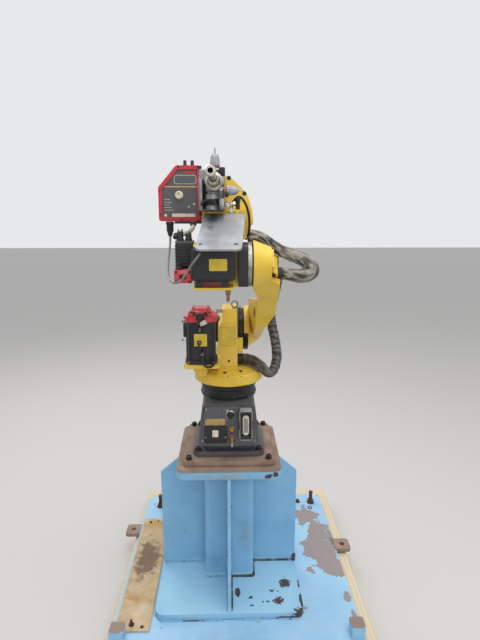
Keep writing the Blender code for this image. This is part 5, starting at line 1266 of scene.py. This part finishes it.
# Drive unit: a turned gear housing in front of a cast frame, with tension arms over it
drive = {"axis": (-0.0478, -0.379), "low": 1.6471, "high": 1.7711}
mesh = bmesh.new()
block(mesh, (-0.086, -0.366, drive["low"]), (-0.009, -0.3006, drive["high"]), 0.006, 3)
block(mesh, (-0.0855, -0.402, 1.6475), (-0.0745, -0.36, 1.7405), 0.003)
block(mesh, (-0.0262, -0.3995, 1.7205), (-0.0098, -0.36, 1.7485), 0.003)
block(mesh, (-0.026, -0.404, 1.65), (-0.0095, -0.36, 1.683), 0.003)
housing = solid(
    (0.0225, 0.0), (0.0238, 0.0015), (0.0238, 0.012), (0.0215, 0.014), (0.0215, 0.031), (0.0238, 0.0325),
    (0.0238, 0.046), (0.0205, 0.048), (0.0205, 0.0525), (0.0232, 0.0545), (0.0232, 0.086), (0.0222, 0.0885)
)
lathe(mesh, housing, (*drive["axis"], 1.649), up, 40)
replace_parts(finishPiece("feederDriveCastings", mesh, castAluminium, "upper_arm", 35.0), "feeder_drive")
mesh = bmesh.new()
lathe(mesh, solid((0.0219, 0.0), (0.0219, 0.0168)), (*drive["axis"], 1.6631), up, 36)
block(mesh, (-0.0258, -0.4025, 1.749), (-0.0072, -0.352, 1.7725), 0.003)
block(mesh, (-0.0315, -0.409, 1.7405), (-0.0265, -0.398, 1.7595), 0.001)
lathe(
    mesh, solid((0.0065, 0.0), (0.0065, 0.022), (0.0082, 0.023), (0.0082, 0.033), (0.006, 0.035)),
    (0.0305, -0.393, 1.651), up, 24
)
block(mesh, (-0.009, -0.3995, 1.688), (0.0035, -0.372, 1.6985), 0.002)
finishPiece("feederBlackParts", mesh, mouldedRubber, "upper_arm")
mesh = bmesh.new()
for x, z, size in ((0.0011, 1.6668, 0.0092), (0.0118, 1.6488, 0.0085), (-0.0185, 1.7095, 0.0068)):
    ring = solid((size, 0.0), (size, 0.006), (size * 0.86, 0.0075), (size * 0.7, 0.0075), (size * 0.62, 0.0045))
    lathe(mesh, ring, (x, -0.398, z), nearward, 28)
rod(mesh, (-0.009, -0.391, 1.6668), (0.0255, -0.391, 1.6668), 0.0055, 20)
rod(mesh, (0.0118, -0.391, 1.6488), (0.0118, -0.391, 1.668), 0.0048, 20)
hexHead(mesh, (0.0165, -0.391, 1.6668), (1, 0, 0), 0.0145, 0.007)
for x, z in ((-0.068, 1.7415), (-0.028, 1.7415)):
    capScrew(mesh, (x, -0.366, z), nearward, 0.0038, 0.004)
finishPiece("feederFittings", mesh, nickelFitting, "upper_arm")
mesh = bmesh.new()
block(mesh, (0.0165, -0.4045, 1.6455), (0.0235, -0.386, 1.6605), 0.0012)
block(mesh, (0.0245, -0.402, 1.6385), (0.0315, -0.386, 1.6485), 0.0012)
finishPiece("feederYellowClips", mesh, yellowVinyl, "upper_arm")

inlet = {
    "at": (-0.04, -0.4096, 1.7311),
    "turned": (
        (0.0, 0.0), (0.0255, 0.0), (0.0262, 0.001), (0.0262, 0.0042), (0.0235, 0.0055), (0.0235, 0.008),
        (0.0262, 0.0092), (0.0262, 0.0125), (0.0215, 0.0145), (0.0192, 0.016), (0.0192, 0.025), (0.0162, 0.027),
        (0.0162, 0.046), (0.0142, 0.048), (0.0142, 0.07), (0.0155, 0.0715), (0.0155, 0.0795), (0.0102, 0.083),
        (0.0102, 0.2755), (0.0122, 0.278), (0.0132, 0.2795), (0.0132, 0.2965), (0.0118, 0.3), (0.0066, 0.3),
        (0.0062, 0.265), (0.0, 0.265),
    ),
}
mesh = bmesh.new()
lathe(mesh, inlet["turned"], inlet["at"], nearward, 40)
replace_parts(finishPiece("wireInletTurned", mesh, nickelFitting, "upper_arm", 30.0), "wire_inlet")
mesh = bmesh.new()
inletX, inletZ = inlet["at"][0], inlet["at"][2]
rod(mesh, (inletX, -0.6751, inletZ), (inletX, -0.6756, inletZ), 0.0061, 20)
lathe(mesh, [(0.0103, 0.0), (0.0118, 0.001), (0.0118, 0.012), (0.0103, 0.013)], (inletX, -0.53, inletZ), nearward, 28)
lathe(mesh, [(0.0164, 0.0), (0.0184, 0.001), (0.0184, 0.005), (0.0164, 0.006)], (inletX, -0.441, inletZ), nearward, 28)
finishPiece("wireInletSeals", mesh, mouldedRubber, "upper_arm")
print("drive unit and inlet ready")


def ribbedKnob(name, at, way, node):
    # Tension knob: fluted polycarbonate cone on a red collar, its steel pin standing out of the top
    mesh = bmesh.new()
    side = ((0.0148, 0.0065), (0.0152, 0.009), (0.0142, 0.024), (0.0128, 0.031), (0.0108, 0.0375), (0.008, 0.04))
    for vert in lathe(mesh, solid(*side), (0.0, 0.0, 0.0), up, 72):
        if 0.008 < vert.co.z < 0.036:
            angle = math.atan2(vert.co.y, vert.co.x)
            depth = 1.0 - 0.075 * (0.5 + 0.5 * math.cos(angle * 12))
            vert.co.x *= depth
            vert.co.y *= depth
    bmesh.ops.transform(mesh, matrix=turnTo(way, at), verts=mesh.verts)
    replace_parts(finishPiece(name, mesh, greyPolycarbonate, "upper_arm", 50.0), node)
    mesh = bmesh.new()
    lathe(mesh, solid((0.0135, 0.0025), (0.0135, 0.0064)), at, way, 32)
    finishPiece(name + "Collar", mesh, redNylon, "upper_arm")
    mesh = bmesh.new()
    lathe(mesh, solid((0.011, 0.0), (0.011, 0.0026)), at, way, 28)
    lathe(mesh, solid((0.0021, 0.0395), (0.0021, 0.056), (0.0016, 0.0575)), at, way, 12)
    finishPiece(name + "Pin", mesh, zincSteel, "upper_arm")


ribbedKnob("tensionKnobTall", (-0.037, -0.3843, 1.7714), (0.0, 0.0, 1.0), "pressure_knob_left")
ribbedKnob("tensionKnobSide", (-0.0087, -0.3843, 1.7065), (1.0, 0.0, 0.0), "pressure_knob_right")

socket = [(0.0, 0.0), (0.0105, 0.0), (0.0138, 0.002), (0.0138, 0.009), (0.0125, 0.0105)]
for groove in range(4):
    height = 0.0125 + groove * 0.0052
    socket += [(0.0112, height), (0.0128, height + 0.0014), (0.0128, height + 0.0032), (0.0112, height + 0.0044)]
socket += [(0.0102, 0.035), (0.0086, 0.0405), (0.0072, 0.0485), (0.0062, 0.05), (0.0, 0.05)]
mesh = bmesh.new()
lathe(mesh, socket, (-0.199, -0.1843, 1.6161), down, 36)
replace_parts(finishPiece("signalSocketRibbed", mesh, mouldedRubber, "upper_arm", 35.0), "signal_socket")
print("knobs and socket ready")


# Elbow: cover plate, screws, dark red insert in painted shade, wrist motor ribs and hose ends

mesh = bmesh.new()
plate(mesh, corners(-0.0553, -0.0023, 1.4726, 1.5078, 0.002), -0.4603, -0.4609, "Y")
finishPiece("driveCoverBareLabel", mesh, yellowVinyl, "upper_arm")
mesh = bmesh.new()
block(mesh, (-0.0768, -0.4495, 1.4243), (-0.0209, -0.4478, 1.4396), 0.0008)
for step in range(5):
    block(mesh, (-0.073 + step * 0.0105, -0.4505, 1.4262), (-0.0668 + step * 0.0105, -0.4493, 1.4377), 0.0004)
finishPiece("lowerMotorInsert", mesh, shadedRedNylon, "upper_arm")
mesh = bmesh.new()
for x, z in (
    (0.0134, 1.5024), (0.0125, 1.4755), (0.0128, 1.5302), (0.0128, 1.4525), (-0.0985, 1.5302), (-0.0985, 1.4525)
):
    capScrew(mesh, (x, -0.4603, z), nearward, 0.0036, 0.003)
for x in (-0.088, -0.008):
    capScrew(mesh, (x, -0.4483, 1.4313), nearward, 0.0032, 0.0028)
elbowRing = {"centre": Vector((0.0545, -0.364335, 1.484579)), "radius": 0.0659, "count": 14}
for angle in circle(elbowRing["count"], 0.4):
    away = Vector((0.0, math.cos(angle), math.sin(angle)))
    capScrew(mesh, elbowRing["centre"] + away * elbowRing["radius"], away, 0.003, 0.0026)
finishPiece("elbowScrews", mesh, rustyScrew, "upper_arm")
mesh = bmesh.new()
for step in range(7):  # cooling ribs of the wrist motor
    low = 1.481 + step * 0.0098
    block(mesh, (-0.1625, -0.3938, low), (-0.1033, -0.3348, low + 0.0036), 0.0012)
for x, y, high in ((-0.147, -0.364, 0.026), (-0.1215, -0.364, 0.02)):
    lathe(
        mesh, solid((0.0112, 0.0), (0.0112, 0.006), (0.0095, 0.008), (0.0095, high), (0.008, high + 0.002)),
        (x, y, 1.5578), up, 24
    )
finishPiece("wristMotorRibs", mesh, motorPowder, "upper_arm")
mesh = bmesh.new()
lathe(mesh, solid((0.0088, 0.0), (0.0088, 0.006), (0.0076, 0.0075)), (-0.147, -0.364, 1.5855), up, 24)
hexHead(mesh, (-0.1215, -0.364, 1.58), up, 0.015, 0.006)
finishPiece("wristMotorNuts", mesh, nickelFitting, "upper_arm")
print("elbow details ready")

# Connector on the panel: black rim, cream insert with its pins, locking levers

connector = {"front": -0.1956, "floor": -0.1841}
mesh = bmesh.new()
rims = (
    ((0.0435, 0.811), (0.0497, 0.9202)), ((0.0793, 0.811), (0.0855, 0.9202)),
    ((0.0497, 0.811), (0.0793, 0.8212)), ((0.0497, 0.91), (0.0793, 0.9202)),
)
for (lowX, lowZ), (highX, highZ) in rims:
    block(mesh, (lowX, connector["front"] - 0.0014, lowZ), (highX, connector["front"], highZ), 0.0004)
block(mesh, (0.0498, connector["floor"] - 0.0035, 0.8209), (0.0792, connector["floor"], 0.9103), 0.0006)
finishPiece("connectorRim", mesh, mouldedRubber, "stand")
mesh = bmesh.new()
outer = [(0.0525, 0.834), (0.0585, 0.8262), (0.0705, 0.8262), (0.0765, 0.834)]
outer += [(0.0765, 0.897), (0.0705, 0.9048), (0.0585, 0.9048), (0.0525, 0.897)]
plate(mesh, outer, connector["floor"] - 0.0035, connector["floor"] - 0.0075, "Y", 0.0008)
finishPiece("connectorInsert", mesh, creamMelamine, "stand")
mesh = bmesh.new()
block(mesh, (0.0568, connector["floor"] - 0.0085, 0.8375), (0.0722, connector["floor"] - 0.0075, 0.8935), 0.0006)
finishPiece("connectorPinBlock", mesh, greyPolycarbonate, "stand")
mesh = bmesh.new()
for column in range(3):
    for row in range(10):
        x, z = 0.0598 + column * 0.0047, 0.8408 + row * 0.0055
        rod(mesh, (x, connector["floor"] - 0.0085, z), (x, connector["floor"] - 0.0115, z), 0.0009, 8)
finishPiece("connectorPins", mesh, dullBrass, "stand")
mesh = bmesh.new()
for side in (-1, 1):
    x = 0.0645 + side * 0.0238
    for low, high in ((0.815, 0.848), (0.884, 0.917)):
        block(
            mesh, (x - 0.0016, connector["front"] + 0.001, low), (x + 0.0016, connector["front"] + 0.026, high),
            0.0008
        )
        pivot = Vector((x, connector["front"] + 0.012, (low + high) / 2))
        rod(mesh, pivot - Vector((0.0022, 0, 0)), pivot + Vector((0.0022, 0, 0)), 0.0032, 16)
finishPiece("connectorLevers", mesh, zincSteel, "stand")

# Copper elbow below the brass fitting, and the hood over the round cap
copperBend = (0.0123, panel["face"] - 0.0155)
mesh = bmesh.new()
hexHead(mesh, (copperBend[0], panel["face"], 0.8098), nearward, 0.0165, 0.009, 0.0105)
rod(mesh, (*copperBend, 0.8125), (*copperBend, 0.788), 0.0062, 20)
hexHead(mesh, (*copperBend, 0.797), down, 0.0155, 0.007)
finishPiece("panelCopperElbow", mesh, heatedCopper, "stand")
mesh = bmesh.new()
rod(mesh, (*copperBend, 0.788), (*copperBend, 0.774), 0.0048, 20)
block(mesh, (-0.0085, panel["face"] - 0.0045, 0.908), (0.0025, panel["face"], 0.9145), 0.0015)
finishPiece("panelNickelEnd", mesh, nickelFitting, "stand")
# Joint between the panel's two leaves, and two tapped holes as dark discs of painted shade
mesh = bmesh.new()
block(mesh, (-0.0262, panel["face"] - 0.0002, 0.86), (-0.025, panel["face"] + 0.0001, 0.9265))
for x, z in ((-0.088, 0.9155), (-0.094, 0.9195)):
    rod(mesh, (x, panel["face"], z), (x, panel["face"] - 0.0006, z), 0.0026, 16)
finishPiece("panelSeam", mesh, mouldedRubber, "stand")
print("panel connector ready")


# Swivel: tapped holes as dark discs of painted shade, bare label, seal lip and the screws of its rings


def spot(mesh, at, way, radius, lift=0.0004):
    # A hole seen from outside: a dark disc in a turned countersink, painted shade standing for the hole's depth
    at, way = Vector(at), Vector(way).normalized()
    rim = ((radius, lift * 0.4), (radius, lift), (radius * 1.14, lift * 0.8), (radius * 1.18, 0.0))
    lathe(mesh, solid(*rim), at, way, 24)


mesh = bmesh.new()
crownHoles = (
    ((-0.0142, -0.1061, 1.0462), (-0.02, -0.24, 0.97), 0.0062),
    ((0.0471, -0.0917, 1.0471), (0.1, -0.22, 0.97), 0.0062),
    ((-0.0027, -0.1332, 1.0386), (-0.06, -0.71, 0.71), 0.0022),
    ((0.0485, -0.1265, 1.0363), (0.3, -0.64, 0.71), 0.0022),
    ((-0.0305, -0.0212, 1.0784), (0.0, -0.98, 0.2), 0.0042),
    ((0.0019, -0.0275, 1.0692), (0.0, -0.98, 0.22), 0.0042),
)
for at, way, size in crownHoles:
    spot(mesh, at, way, size)
finishPiece("swivelHoles", mesh, mouldedRubber, "swivel")
mesh = bmesh.new()
for x, z in ((0.0535, 1.7027), (0.0045, 1.7505)):
    spot(mesh, (x, -0.3003, z), nearward, 0.0058)
finishPiece("housingHoles", mesh, mouldedRubber, "upper_arm")

labelTurn = turnTo((0.0, -0.98, 0.1985), (-0.0035, -0.00745, 1.1654))
mesh = bmesh.new()
plate(mesh, corners(-0.0302, 0.0302, -0.0375, 0.0375, 0.0025), 0.0, 0.0004, "Z", 0.0, labelTurn)
finishPiece("columnBareLabelRim", mesh, blackedScrew, "swivel")
mesh = bmesh.new()
plate(mesh, corners(-0.0295, 0.0295, -0.0368, 0.0368, 0.0022), 0.0004, 0.0007, "Z", 0.0, labelTurn)
finishPiece("columnBareLabel", mesh, yellowVinyl, "swivel")

mesh = bmesh.new()
lathe(
    mesh, [(0.106, 0.0), (0.1118, 0.0), (0.1124, 0.0006), (0.1124, 0.0008), (0.106, 0.0008)], (0, 0, 0.9846),
    up, 72
)
finishPiece("swivelSeal", mesh, mouldedRubber, "swivel")
mesh = bmesh.new()
for angle in circle(18):
    away = Vector((math.cos(angle), math.sin(angle), 0.0))
    capScrew(mesh, Vector((0.0, 0.0, 0.9445)) + away * 0.1115, away, 0.0034, 0.0016)
finishPiece("baseRingScrews", mesh, blackedScrew, "stand")
mesh = bmesh.new()
for angle in circle(16):
    away = Vector((0.0, math.cos(angle), math.sin(angle)))
    capScrew(mesh, shoulder + Vector((0.0508, 0.0, 0.0)) + away * 0.0926, away, 0.0034, 0.0026)
finishPiece("shoulderRingScrews", mesh, blackedScrew, "swivel")
print("swivel details ready")


# First motor: pocketed red cap, connectors, bare tag and label, and its cable loops

motor = {"face": -0.163, "capTop": 1.3047, "screws": ((-0.1235, -0.0812), (-0.1348, -0.0682), (-0.128, -0.074))}
mesh = bmesh.new()
block(mesh, (-0.1255, -0.1665, 1.2745), (-0.0785, -0.141, 1.2965), 0.005, 3)
for x in (-0.1348, -0.0682):
    lathe(mesh, solid((0.0115, 0.0), (0.0115, 0.012), (0.0098, 0.0145)), (x, -0.1535, 1.2795), (0.0, -0.5, 0.86), 28)
for x in (-0.1395, -0.0632):
    for y in (-0.148, -0.0725):
        lathe(mesh, solid((0.0095, 0.0), (0.0095, 0.0045), (0.0085, 0.0055)), (x, y, 1.2768), up, 24)
finishPiece("motorCapBosses", mesh, redNylon, "swivel")
mesh = bmesh.new()
block(mesh, (-0.1165, -0.178, 1.2665), (-0.0862, -0.155, 1.2892), 0.003)
# The cap's screw pockets: dark discs of painted shade
frontX, slantX, topX = motor["screws"]
for x in frontX:
    spot(mesh, (x, -0.1668, 1.2905), (0, -1, 0.1), 0.0048)
for x in slantX:
    spot(mesh, (x, -0.1608, 1.292), (0, -0.5, 0.86), 0.0048)
for y in (-0.128, -0.086):
    for x in topX:
        spot(mesh, (x, y, motor["capTop"]), up, 0.0052)
lathe(mesh, solid((0.0098, 0.0), (0.0098, 0.01), (0.0078, 0.013)), (-0.1015, -0.178, 1.2745), (0, -1, -0.35), 24)
block(mesh, (-0.1165, -0.1745, 1.2205), (-0.0965, -0.163, 1.2425), 0.003)
block(mesh, (-0.1145, -0.1735, 1.1735), (-0.0985, -0.163, 1.1885), 0.0025)
block(mesh, (-0.1045, -0.1755, 1.1325), (-0.0885, -0.163, 1.1495), 0.0025)
for x in (-0.152, -0.05):
    rod(mesh, (x, -0.1655, 1.112), (x, -0.1655, 1.24), 0.0026, 12)
finishPiece("motorConnectors", mesh, mouldedRubber, "swivel")
mesh = bmesh.new()
plate(mesh, corners(-0.1252, -0.0782, 1.166, 1.2128, 0.0015), motor["face"], motor["face"] - 0.0005, "Y")
finishPiece("motorBareLabel", mesh, yellowVinyl, "swivel")
mesh = bmesh.new()
tagTilt = Matrix.Rotation(math.radians(-24), 4, "Y") @ Matrix.Rotation(math.radians(14), 4, "X")
tagTurn = Matrix.Translation((-0.0915, -0.1722, 1.2555)) @ tagTilt
block(mesh, (-0.0128, -0.0004, -0.0088), (0.0128, 0.0004, 0.0088), 0.0, 1, tagTurn)
finishPiece("motorBareTag", mesh, creamMelamine, "swivel")
mesh = bmesh.new()
glands = (
    (-0.107, -0.1745, 1.2315, 0.0062), (-0.1065, -0.1735, 1.1815, 0.0056), (-0.0965, -0.1755, 1.1415, 0.0056)
)
for x, y, z, size in glands:
    rod(mesh, (x, y, z), (x, y - 0.004, z), size, 20)
rod(mesh, (-0.0435, -0.1105, 1.2885), (-0.0205, -0.1105, 1.2885), 0.0052, 20)
hexHead(mesh, (-0.0435, -0.1105, 1.2885), (1, 0, 0), 0.0165, 0.007)
hexHead(mesh, (-0.0295, -0.1105, 1.2885), (1, 0, 0), 0.0135, 0.006)
block(mesh, (-0.0205, -0.1155, 1.2835), (-0.0165, -0.1055, 1.2935), 0.001)
for x in (-0.147, -0.055):
    capScrew(mesh, (x, -0.1625, 1.1035), up, 0.0042, 0.0042)
finishPiece("motorChromeFittings", mesh, nickelFitting, "swivel")


heldCord(
    "motorPowerLead",
    [
        (-0.1015, -0.186, 1.27), (-0.1055, -0.1925, 1.262), (-0.1145, -0.1955, 1.2505),
        (-0.1175, -0.1915, 1.2385), (-0.1125, -0.183, 1.2325), (-0.107, -0.1775, 1.2315)
    ],
    0.0048, mouldedRubber, "swivel",
)
heldCord(
    "motorSignalLead",
    [
        (-0.1065, -0.1765, 1.1815), (-0.107, -0.184, 1.1795), (-0.1078, -0.187, 1.17),
        (-0.1045, -0.1875, 1.1555), (-0.0985, -0.1845, 1.145), (-0.0965, -0.1785, 1.1415)
    ],
    0.0036, mouldedRubber, "swivel",
)
heldCord(
    "motorLowerLoop",
    [
        (-0.0905, -0.1745, 1.1345), (-0.0935, -0.1785, 1.1255), (-0.0935, -0.1835, 1.1115),
        (-0.0875, -0.1855, 1.0995), (-0.0743, -0.1855, 1.0925), (-0.0575, -0.1845, 1.0985),
        (-0.0485, -0.1785, 1.112), (-0.0485, -0.1705, 1.1235),
    ],
    0.0042, mouldedRubber, "swivel",
)
print("first motor ready")


# Lower arm: a dark sheet in the oval pocket as painted shade, screws on its hubs and along the channel

mesh = bmesh.new()
armMatrix = Matrix.Translation(shoulder) @ armTurn.to_4x4()
pocket = []
for angle in circle(24, 0.0):
    z = 0.305 if math.sin(angle) > 0 else 0.25
    pocket.append((-0.035 + 0.0116 * math.cos(angle), z + 0.0116 * math.sin(angle)))
plate(mesh, pocket, 0.1, 0.1178, "X", 0.0, armMatrix)
finishPiece("armPocketPaintedShade", mesh, mouldedRubber, "lower_arm")
mesh = bmesh.new()
for radius, along, x in ((0.034, 0.0, 0.1302), (0.036, 0.606, 0.1352)):
    for angle in circle(8):
        y, z = radius * math.cos(angle), along + radius * math.sin(angle)
        if along and z > along + 0.002:
            continue
        capScrew(mesh, onArm(x, y, z), (1, 0, 0), 0.0052, 0.0045)
for z in (0.556, 0.578):
    for y in (-0.021, 0.021):
        capScrew(mesh, onArm(0.1573, y, z), (1, 0, 0), 0.004, 0.0036)
finishPiece("armScrews", mesh, blackedScrew, "lower_arm")
mesh = bmesh.new()
strap = [(0.0226, -0.008), (0.0234, -0.0072), (0.0234, 0.0072), (0.0226, 0.008)]
for z in (0.33, 0.43, 0.52):  # clamp straps over the bundle in its channel
    lathe(mesh, strap, onArm(0.1625, 0.0, z), armTurn @ Vector((0, 0, 1)), 32)
finishPiece("armClampStraps", mesh, zincSteel, "lower_arm")
print("arm details ready")

# Hoses and small leads about the feeder

heldCord(
    "drivePowerLoop",
    [
        (-0.0765, -0.401, 1.664), (-0.076, -0.411, 1.6675), (-0.066, -0.4165, 1.6755),
        (-0.0525, -0.4175, 1.6775), (-0.04, -0.417, 1.6705), (-0.0305, -0.414, 1.6595),
        (-0.025, -0.4065, 1.652),
    ],
    0.0034, mouldedRubber, "upper_arm",
)
heldCord(
    "gasLeadBlack",
    [
        (0.013, -0.386, 1.6665), (0.0225, -0.384, 1.6815), (0.034, -0.385, 1.6885), (0.0435, -0.3855, 1.6835),
        (0.0525, -0.3845, 1.671), (0.0595, -0.381, 1.655), (0.0655, -0.372, 1.63), (0.0675, -0.3605, 1.603),
        (0.0655, -0.3475, 1.5785), (0.058, -0.336, 1.5605),
    ],
    0.0038, mouldedRubber, "upper_arm",
)
braidedHose = wornSurface(
    "braided_hose_white",
    {
        "colour": "#C4C1B8", "shade": "#A09C92", "driftMm": 12, "grainMm": 1.0, "bump": 0.5, "roughness": 0.6,
        "bevelMm": 0.3
    },
)
heldCord(
    "waterHoseShort",
    [
        (-0.1135, -0.262, 1.6065), (-0.1145, -0.2725, 1.596), (-0.1235, -0.292, 1.5835),
        (-0.138, -0.316, 1.577), (-0.1535, -0.3415, 1.5745), (-0.1585, -0.359, 1.5725),
    ],
    0.0072, braidedHose, "upper_arm",
)
mesh = bmesh.new()
lathe(
    mesh, solid((0.0105, 0.0), (0.0105, 0.009), (0.0088, 0.011)), (-0.1135, -0.259, 1.6115),
    (0.0, -0.55, -0.83), 24
)
lathe(mesh, solid((0.0098, 0.0), (0.0098, 0.012), (0.0082, 0.014)), (-0.1605, -0.3645, 1.566), (0.1, 0.45, 0.6), 24)
block(mesh, (-0.1605, -0.3905, 1.4655), (-0.118, -0.3495, 1.4745), 0.002)
lathe(
    mesh, solid((0.0112, 0.0), (0.0112, 0.007), (0.0085, 0.009), (0.0085, 0.019)), (-0.1475, -0.4215, 1.4732),
    up, 24
)
finishPiece("hoseUnions", mesh, mouldedRubber, "upper_arm")
# Pockets of the drive motor: dark discs of painted shade
mesh = bmesh.new()
for x, z in ((-0.1545, 1.4385), (-0.1153, 1.4385), (-0.1545, 1.468), (-0.1153, 1.468)):
    spot(mesh, (x, -0.4428, z), nearward, 0.0034)
block(mesh, (-0.1445, -0.4452, 1.447), (-0.1255, -0.4425, 1.4605), 0.0015)
finishPiece("driveMotorPockets", mesh, blackedScrew, "upper_arm")
print("feeder hoses ready")


# Forearm, wrist and torch, turned away from the photograph: joints, screws and the gun's fittings

rollLevel = 1.673079  # height of the roll axis
mesh = bmesh.new()
for angle in circle(12):
    away = Vector((math.cos(angle), 0.0, math.sin(angle)))
    capScrew(mesh, Vector((0.0, -0.1522, rollLevel)) + away * 0.0548, (0, 1, 0), 0.0036, 0.0036)
finishPiece("forearmFlangeScrews", mesh, blackedScrew, "forearm")
torch = {"y": 0.485665, "top": 1.5885}
mesh = bmesh.new()
for angle in circle(8):
    at = (0.0252 * math.cos(angle), torch["y"] + 0.0252 * math.sin(angle), torch["top"])
    capScrew(mesh, at, down, 0.0028, 0.003)
for z in (1.542, 1.573):
    for x in (-0.024, 0.024):
        capScrew(mesh, (x, torch["y"] - 0.006, z), (math.copysign(1, x), 0, 0), 0.0036, 0.0032)
finishPiece("toolScrews", mesh, blackedScrew, "tool")
mesh = bmesh.new()
for side in (-1, 1):
    pivot = (side * 0.0364, torch["y"], rollLevel)
    lathe(mesh, solid((0.0232, 0.0), (0.0232, 0.0012), (0.0215, 0.0024)), pivot, (side, 0, 0), 36)
finishPiece("wristCovers", mesh, castingEnamel, "wrist")
mesh = bmesh.new()
for side in (-1, 1):
    for angle in circle(6):
        at = (side * 0.0386, torch["y"] + 0.0182 * math.cos(angle), rollLevel + 0.0182 * math.sin(angle))
        capScrew(mesh, at, (side, 0, 0), 0.0022, 0.002)
finishPiece("wristCoverScrews", mesh, blackedScrew, "wrist")
print("forearm, wrist and torch details ready")


# Second motor and shelf: ribs, end cover and its screws

mesh = bmesh.new()
motorLow, motorHigh = boxes["j2_motor"]
for y in (motorLow[1] + 0.012, motorHigh[1] - 0.012):
    for z in (motorLow[2] + 0.012, motorHigh[2] - 0.012):
        capScrew(mesh, (motorLow[0], y, z), (-1, 0, 0), 0.0045, 0.0045)
finishPiece("secondMotorScrews", mesh, blackedScrew, "swivel")
mesh = bmesh.new()
for step in range(5):
    low = motorLow[0] + 0.03 + step * 0.016
    high = (low + 0.006, motorHigh[1] - 0.006, motorHigh[2] + 0.0022)
    block(mesh, (low, motorLow[1] + 0.006, motorHigh[2] - 0.0006), high, 0.001)
cover = (motorLow[0] + 0.012, motorHigh[1] - 0.001, motorLow[2] + 0.03)
block(mesh, cover, (motorLow[0] + 0.05, motorHigh[1] + 0.012, motorHigh[2] - 0.03), 0.004)
finishPiece("secondMotorRibs", mesh, motorPowder, "swivel")
print("second motor ready")

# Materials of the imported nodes

dressed = {
    castingEnamel: ("swivel_casting", "lower_arm", "arm_bracket", "elbow_housing", "forearm", "wrist"),
    standAlkyd: (
        "stand_base_plate", "stand_column", "stand_wing_left", "stand_wing_right", "stand_gusset_near",
        "stand_gusset_far", "stand_top_plate",
    ),
    floorAlkyd: ("floor_plate",),
    rustedPlate: ("anchor_tab_left", "anchor_tab_right", "riser_plate", "adapter_plate"),
    stainedStrip: ("bare_strip",), pineAlongX: ("skid_timber_near", "skid_timber_far"),
    pineAlongY: ("skid_timber_left", "skid_timber_right", "skid_timber_middle"),
    rustyScrew: ("levelling_bolt_left", "levelling_bolt_right"),
    zincSteel: ("lifting_eye_swivel", "lifting_eye_top", "elbow_reducer", "tool_flange"),
    greyCasting: ("robot_base", "connector_panel"),
    blackEnamel: ("base_ring", "j2_reducer", "elbow_side_plate", "drive_cover", "shoulder_flange", "control_bracket"),
    mouldedRubber: ("signal_socket", "torch_body"),
    motorPowder: ("j1_motor", "j2_motor", "wrist_motor", "lower_motor"),
    redNylon: ("j1_motor_cap", "drive_motor_cap"), redPowder: ("feeder_control_box",),
    greyPolycarbonate: ("power_connector", "pressure_knob_left", "pressure_knob_right"),
    milledPlate: ("feeder_plate", "feeder_bracket"), castAluminium: ("feeder_drive", "torch_clamp"),
    nickelFitting: ("wire_inlet",), heatedCopper: ("torch_nozzle",),
    duckCanvas: ("dress_bundle_lower", "dress_bundle_arm", "dress_bundle_upper"),
}
for material, nodes in dressed.items():
    for node in nodes:
        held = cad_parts[node]
        for slot in held.material_slots:
            slot.material = material
print("packed nodes dressed")
